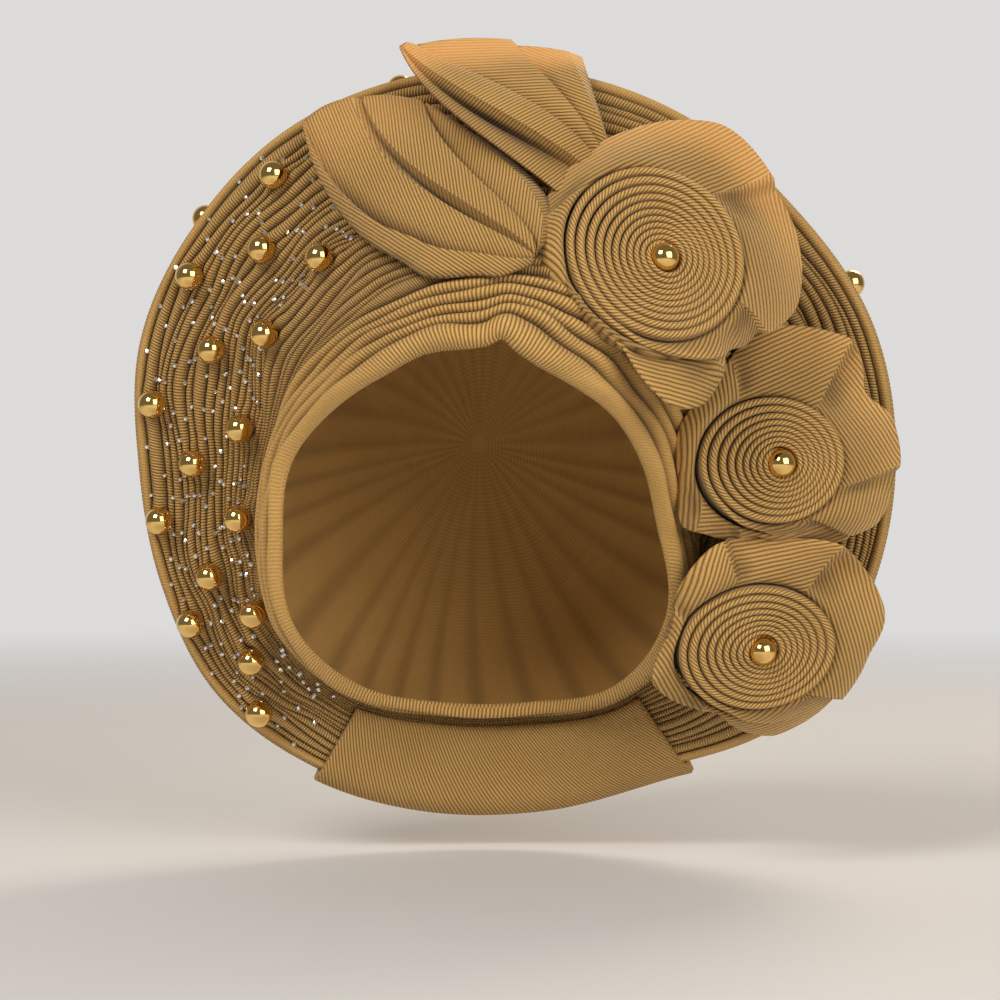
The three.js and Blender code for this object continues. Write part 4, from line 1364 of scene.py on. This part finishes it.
class HEADTIE_OT_crystals(Operator):
    """Set small faceted crystals in the valleys between the pleats"""

    bl_idname = "headtie.crystals"
    bl_label = "Crystals"

    def execute(self, context):
        look = context.scene.head_tie_beads
        rng = np.random.default_rng(look.crystal_seed)
        degrees, edges, lengths, t, beads = brim_pleats()
        middles, facings = [], []
        for valley in range(1, BRIM_PLEATS - CRYSTAL_BARE_PLEATS):
            angle = look.crystals_from + rng.uniform(*CRYSTAL_START)
            while angle < look.crystals_to:
                row = int(round(angle / 360 * BRIM_SECTIONS)) % BRIM_SECTIONS
                from_rim = edges[row, valley]
                clear = min(math.hypot(along[row, 0], from_rim - far) for along, far in beads)
                if clear > CRYSTAL_CLEAR and rng.uniform() < CRYSTAL_CHANCE:
                    one = slice(row, row + 1)
                    where = t_at_lengths(lengths[one], t, lengths[one, -1:] - from_rim)
                    low, high = (
                        raised(brim_surface, degrees[one], where, np.array([[height]]))[0, 0]
                        for height in (CRYSTAL_HEIGHT, CRYSTAL_HEIGHT + 1)
                    )
                    middles.append(low)
                    facings.append(high - low)
                angle += rng.uniform(*CRYSTAL_APART)
        piece = self.stones(np.array(middles), np.array(facings), look.crystal_diameter / MM, rng)
        piece.data.materials.append(crystal_finish())
        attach(piece, BODY)
        return {"FINISHED"}

    @staticmethod
    def stones(middles, facings, diameter, rng):
        """One mesh of eight-sided stones with a flat table, a girdle and a point below."""
        sides = CRYSTAL_SIDES
        turn = np.arange(sides) * 2 * np.pi / sides
        verts, faces = [], []
        for middle, facing in zip(middles, facings):
            tip = unit(facing + rng.normal(0, CRYSTAL_TIP_SPREAD, 3))
            side = unit(np.cross(tip, (0.3, 0.1, 0.9)))
            up = np.cross(tip, side)
            start = len(verts)
            spin = rng.uniform(0, 1)
            radius = diameter / 2 * rng.uniform(*CRYSTAL_SIZES)
            for wide, high in CRYSTAL_ROWS:
                for a in turn + spin:
                    flat = wide * (math.cos(a) * side + math.sin(a) * up)
                    verts.append(middle + radius * (flat + high * 2 * tip))
            verts.append(middle - radius * CRYSTAL_POINT * tip)
            faces.append([start + k for k in range(sides)])
            for k in range(sides):
                n = (k + 1) % sides
                for upper in (start, start + sides):
                    faces.append([upper + sides + k, upper + sides + n, upper + n, upper + k])
                faces.append([start + 3 * sides, start + 2 * sides + n, start + 2 * sides + k])
        mesh = bpy.data.meshes.new("crystals")
        mesh.from_pydata(np.array(verts) * MM, [], faces)
        mesh.validate()
        piece = bpy.data.objects.new("crystals", mesh)
        bpy.context.scene.collection.objects.link(piece)
        return piece


class HEADTIE_OT_stage(Operator):
    """Set up the pale floor, the soft lights and the camera"""

    bl_idname = "headtie.stage"
    bl_label = "Stage"

    def execute(self, context):
        look = context.scene.head_tie_stage
        self.floor(look)
        self.surroundings(look)
        for name, (place, size) in LIGHTS.items():
            power, colour = getattr(look, name + "_power"), getattr(look, name + "_colour")
            self.soft_light(name, place, size, power, colour)
        context.scene.view_settings.view_transform = "Standard"
        camera = bpy.data.cameras.new("camera")
        camera.lens = look.lens
        camera.sensor_width = SENSOR_WIDTH
        camera.clip_start, camera.clip_end = CLIP_RANGE
        view = bpy.data.objects.new("camera", camera)
        view.location = look.camera_place
        view.rotation_euler = (math.pi / 2, 0, 0)
        context.scene.collection.objects.link(view)
        context.scene.camera = view
        return {"FINISHED"}

    @staticmethod
    def floor(look):
        bpy.ops.object.select_all(action="DESELECT")
        height = CAD_LOW.z - look.floor_gap
        bpy.ops.mesh.primitive_circle_add(
            vertices=FLOOR_CORNERS, radius=look.floor_radius, fill_type="NGON", location=(0, 0, height),
        )
        floor = bpy.context.object
        floor.name = "floor"
        material, tree, shader, place = new_material("floor_paper")
        far = add_node(tree, "ShaderNodeVectorMath", {0: place}, operation="LENGTH").outputs["Value"]
        starts, ends = look.floor_radius * FLOOR_FADE_FROM, look.floor_radius * FLOOR_FADE_TO
        inputs = {0: far, 1: starts, 2: ends, 3: 1.0, 4: 0.0}
        fade = add_node(tree, "ShaderNodeMapRange", inputs, interpolation_type="SMOOTHSTEP").outputs[0]
        cloud = noise(tree, place, FLOOR_CLOUDS, FLOOR_CLOUD_DETAIL)
        dull = rgba(c * FLOOR_DULL for c in look.floor_colour)
        colour = mix_colour(tree, cloud, rgba(look.floor_colour), dull)
        tree.links.new(colour, shader.inputs["Base Color"])
        tree.links.new(fade, shader.inputs["Alpha"])
        shader.inputs["Roughness"].default_value = FLOOR_ROUGHNESS
        floor.data.materials.append(material)

    @staticmethod
    def surroundings(look):
        world = bpy.data.worlds.new("studio")
        world.use_nodes = True
        tree = world.node_tree
        background = tree.nodes["Background"]
        direction = add_node(tree, "ShaderNodeTexCoord").outputs["Generated"]
        behind = add_node(tree, "ShaderNodeSeparateXYZ", {0: direction}).outputs[1]
        inputs = {0: behind, 1: BACKDROP_FROM, 2: BACKDROP_TO}
        share = add_node(tree, "ShaderNodeMapRange", inputs, interpolation_type="SMOOTHSTEP").outputs[0]
        colour = mix_colour(tree, share, rgba(look.sky_colour), rgba(look.floor_colour))
        tree.links.new(colour, background.inputs[0])
        background.inputs[1].default_value = look.world_strength
        bpy.context.scene.world = world

    @staticmethod
    def soft_light(name, place, size, power, colour):
        data = bpy.data.lights.new(name, "AREA")
        data.size = size
        data.energy = power
        data.color = colour
        light = bpy.data.objects.new(name, data)
        light.location = place
        light.rotation_euler = (-Vector(place)).to_track_quat("-Z", "Y").to_euler()
        bpy.context.scene.collection.objects.link(light)


def colour_setting(name, description, default):
    return FloatVectorProperty(name=name, description=description, subtype="COLOR", default=default)


def length_setting(name, description, default):
    return FloatProperty(name=name, description=description, default=default, unit="LENGTH", precision=5)


def power_setting(name, description, default):
    return FloatProperty(name=name, description=description, default=default, unit="POWER")


class HeadTieCloth(PropertyGroup):
    rib_pitch: length_setting("Rib pitch", "From one rib of the cloth to the next", 1.5 * MM)
    pleat_rib_pitch: length_setting("Pleat rib pitch", "From rib to rib in the gathered pleats", 1.08 * MM)
    thread_colour: colour_setting("Thread", "Colour of the raised ribs", (0.79, 0.475, 0.145))
    # The groove colour is painted shade between the ribs.
    groove_shade_colour: colour_setting("Groove", "Colour between the ribs", (0.1, 0.044, 0.009))
    # The valley colour and its darkness give painted shade deep in the folds.
    valley_shade_colour: colour_setting("Valley", "Colour deep in the folds", (0.03, 0.011, 0.003))
    patch_colour: colour_setting("Patch", "Tint of the soft patches", (0.78, 0.68, 0.5))
    # The glow colour is painted light where light would come through thin cloth.
    glow_colour: colour_setting("Glow", "Colour where light comes through thin cloth", (0.85, 0.42, 0.13))
    valley_shade_strength: FloatProperty(
        name="Valley darkness", description="How far the folds darken", default=0.94, subtype="FACTOR",
    )
    sheen: FloatProperty(name="Sheen", description="Soft shine of cloth", default=0.22, subtype="FACTOR")
    sheen_colour: colour_setting("Sheen colour", "Tint of the soft shine", (1.0, 0.86, 0.62))


class HeadTieBeads(PropertyGroup):
    diameter: length_setting("Bead", "Bead diameter", 10 * MM)
    hole: length_setting("Hole", "Size of the thread hole", 1.2 * MM)
    plating_colour: colour_setting("Plating", "Colour of the gold plating", (0.95, 0.66, 0.24))
    worn_colour: colour_setting("Worn plating", "Colour of thinner plating", (0.85, 0.53, 0.16))
    crystal_diameter: length_setting("Crystal", "Crystal diameter", 1.9 * MM)
    crystal_shade: colour_setting("Crystal shade", "Duller colour of the crystals", (0.6, 0.64, 0.68))
    crystal_colour: colour_setting("Crystal colour", "Brighter colour of the crystals", (1.0, 0.96, 0.9))
    crystals_from: FloatProperty(name="From", description="Degrees where crystals start", default=116.0)
    crystals_to: FloatProperty(name="To", description="Degrees where crystals end", default=236.0)
    crystal_seed: IntProperty(name="Seed", description="Scatter of the crystals", default=3)


class HeadTieStage(PropertyGroup):
    floor_radius: length_setting("Floor radius", "Size of the floor", 3.0)
    floor_gap: length_setting("Floor gap", "From the head tie down to the floor", 12 * MM)
    floor_colour: colour_setting("Floor", "Pale floor colour", (0.72, 0.71, 0.7))
    sky_colour: colour_setting("Surroundings", "Colour overhead", (0.17, 0.16, 0.15))
    world_strength: FloatProperty(name="World", description="Strength of the surroundings", default=1.0)
    key_power: power_setting("Key", "Power of the main light", 18.0)
    key_colour: colour_setting("Key colour", "Tint of the main light", (1.0, 0.95, 0.88))
    fill_power: power_setting("Fill", "Power of the fill light", 16.0)
    fill_colour: colour_setting("Fill colour", "Tint of the fill light", (1.0, 0.97, 0.93))
    rim_power: power_setting("Rim", "Power of the light from behind", 7.0)
    rim_colour: colour_setting("Rim colour", "Tint of the light from behind", (1.0, 0.84, 0.66))
    lens: FloatProperty(name="Lens", description="Focal length", default=90.0, unit="CAMERA")
    camera_place: FloatVectorProperty(
        name="Camera", description="Where the camera stands", subtype="TRANSLATION", unit="LENGTH",
        default=[distance * MM for distance in CAMERA_PLACE],
    )


OPERATORS = (
    HEADTIE_OT_brim,
    HEADTIE_OT_band,
    HEADTIE_OT_cap,
    HEADTIE_OT_binding,
    HEADTIE_OT_leaves,
    HEADTIE_OT_rosettes,
    HEADTIE_OT_beads,
    HEADTIE_OT_crystals,
    HEADTIE_OT_stage,
)


class HEADTIE_PT_panel(Panel):
    """Lists the steps that build the head tie"""

    bl_idname = "HEADTIE_PT_panel"
    bl_label = "Head Tie"
    bl_space_type = "VIEW_3D"
    bl_region_type = "UI"
    bl_category = "Head Tie"

    def draw(self, context):
        for operator in OPERATORS:
            self.layout.operator(operator.bl_idname)
        for group in SETTINGS:
            settings = getattr(context.scene, group)
            box = self.layout.box()
            for name in settings.__annotations__:
                box.prop(settings, name)


SETTINGS = {"head_tie_cloth": HeadTieCloth, "head_tie_beads": HeadTieBeads, "head_tie_stage": HeadTieStage}
CLASSES = (*SETTINGS.values(), *OPERATORS, HEADTIE_PT_panel)


def register():
    for cls in CLASSES:
        bpy.utils.register_class(cls)
    for name, group in SETTINGS.items():
        setattr(bpy.types.Scene, name, PointerProperty(type=group))


def unregister():
    for name in SETTINGS:
        delattr(bpy.types.Scene, name)
    for cls in reversed(CLASSES):
        bpy.utils.unregister_class(cls)


def main():
    register()
    bpy.ops.headtie.stage()
    bpy.ops.headtie.brim()
    bpy.ops.headtie.band()
    bpy.ops.headtie.cap()
    bpy.ops.headtie.binding()
    bpy.ops.headtie.leaves()
    bpy.ops.headtie.rosettes()
    bpy.ops.headtie.beads()
    bpy.ops.headtie.crystals()


if __name__ == "__main__":
    main()
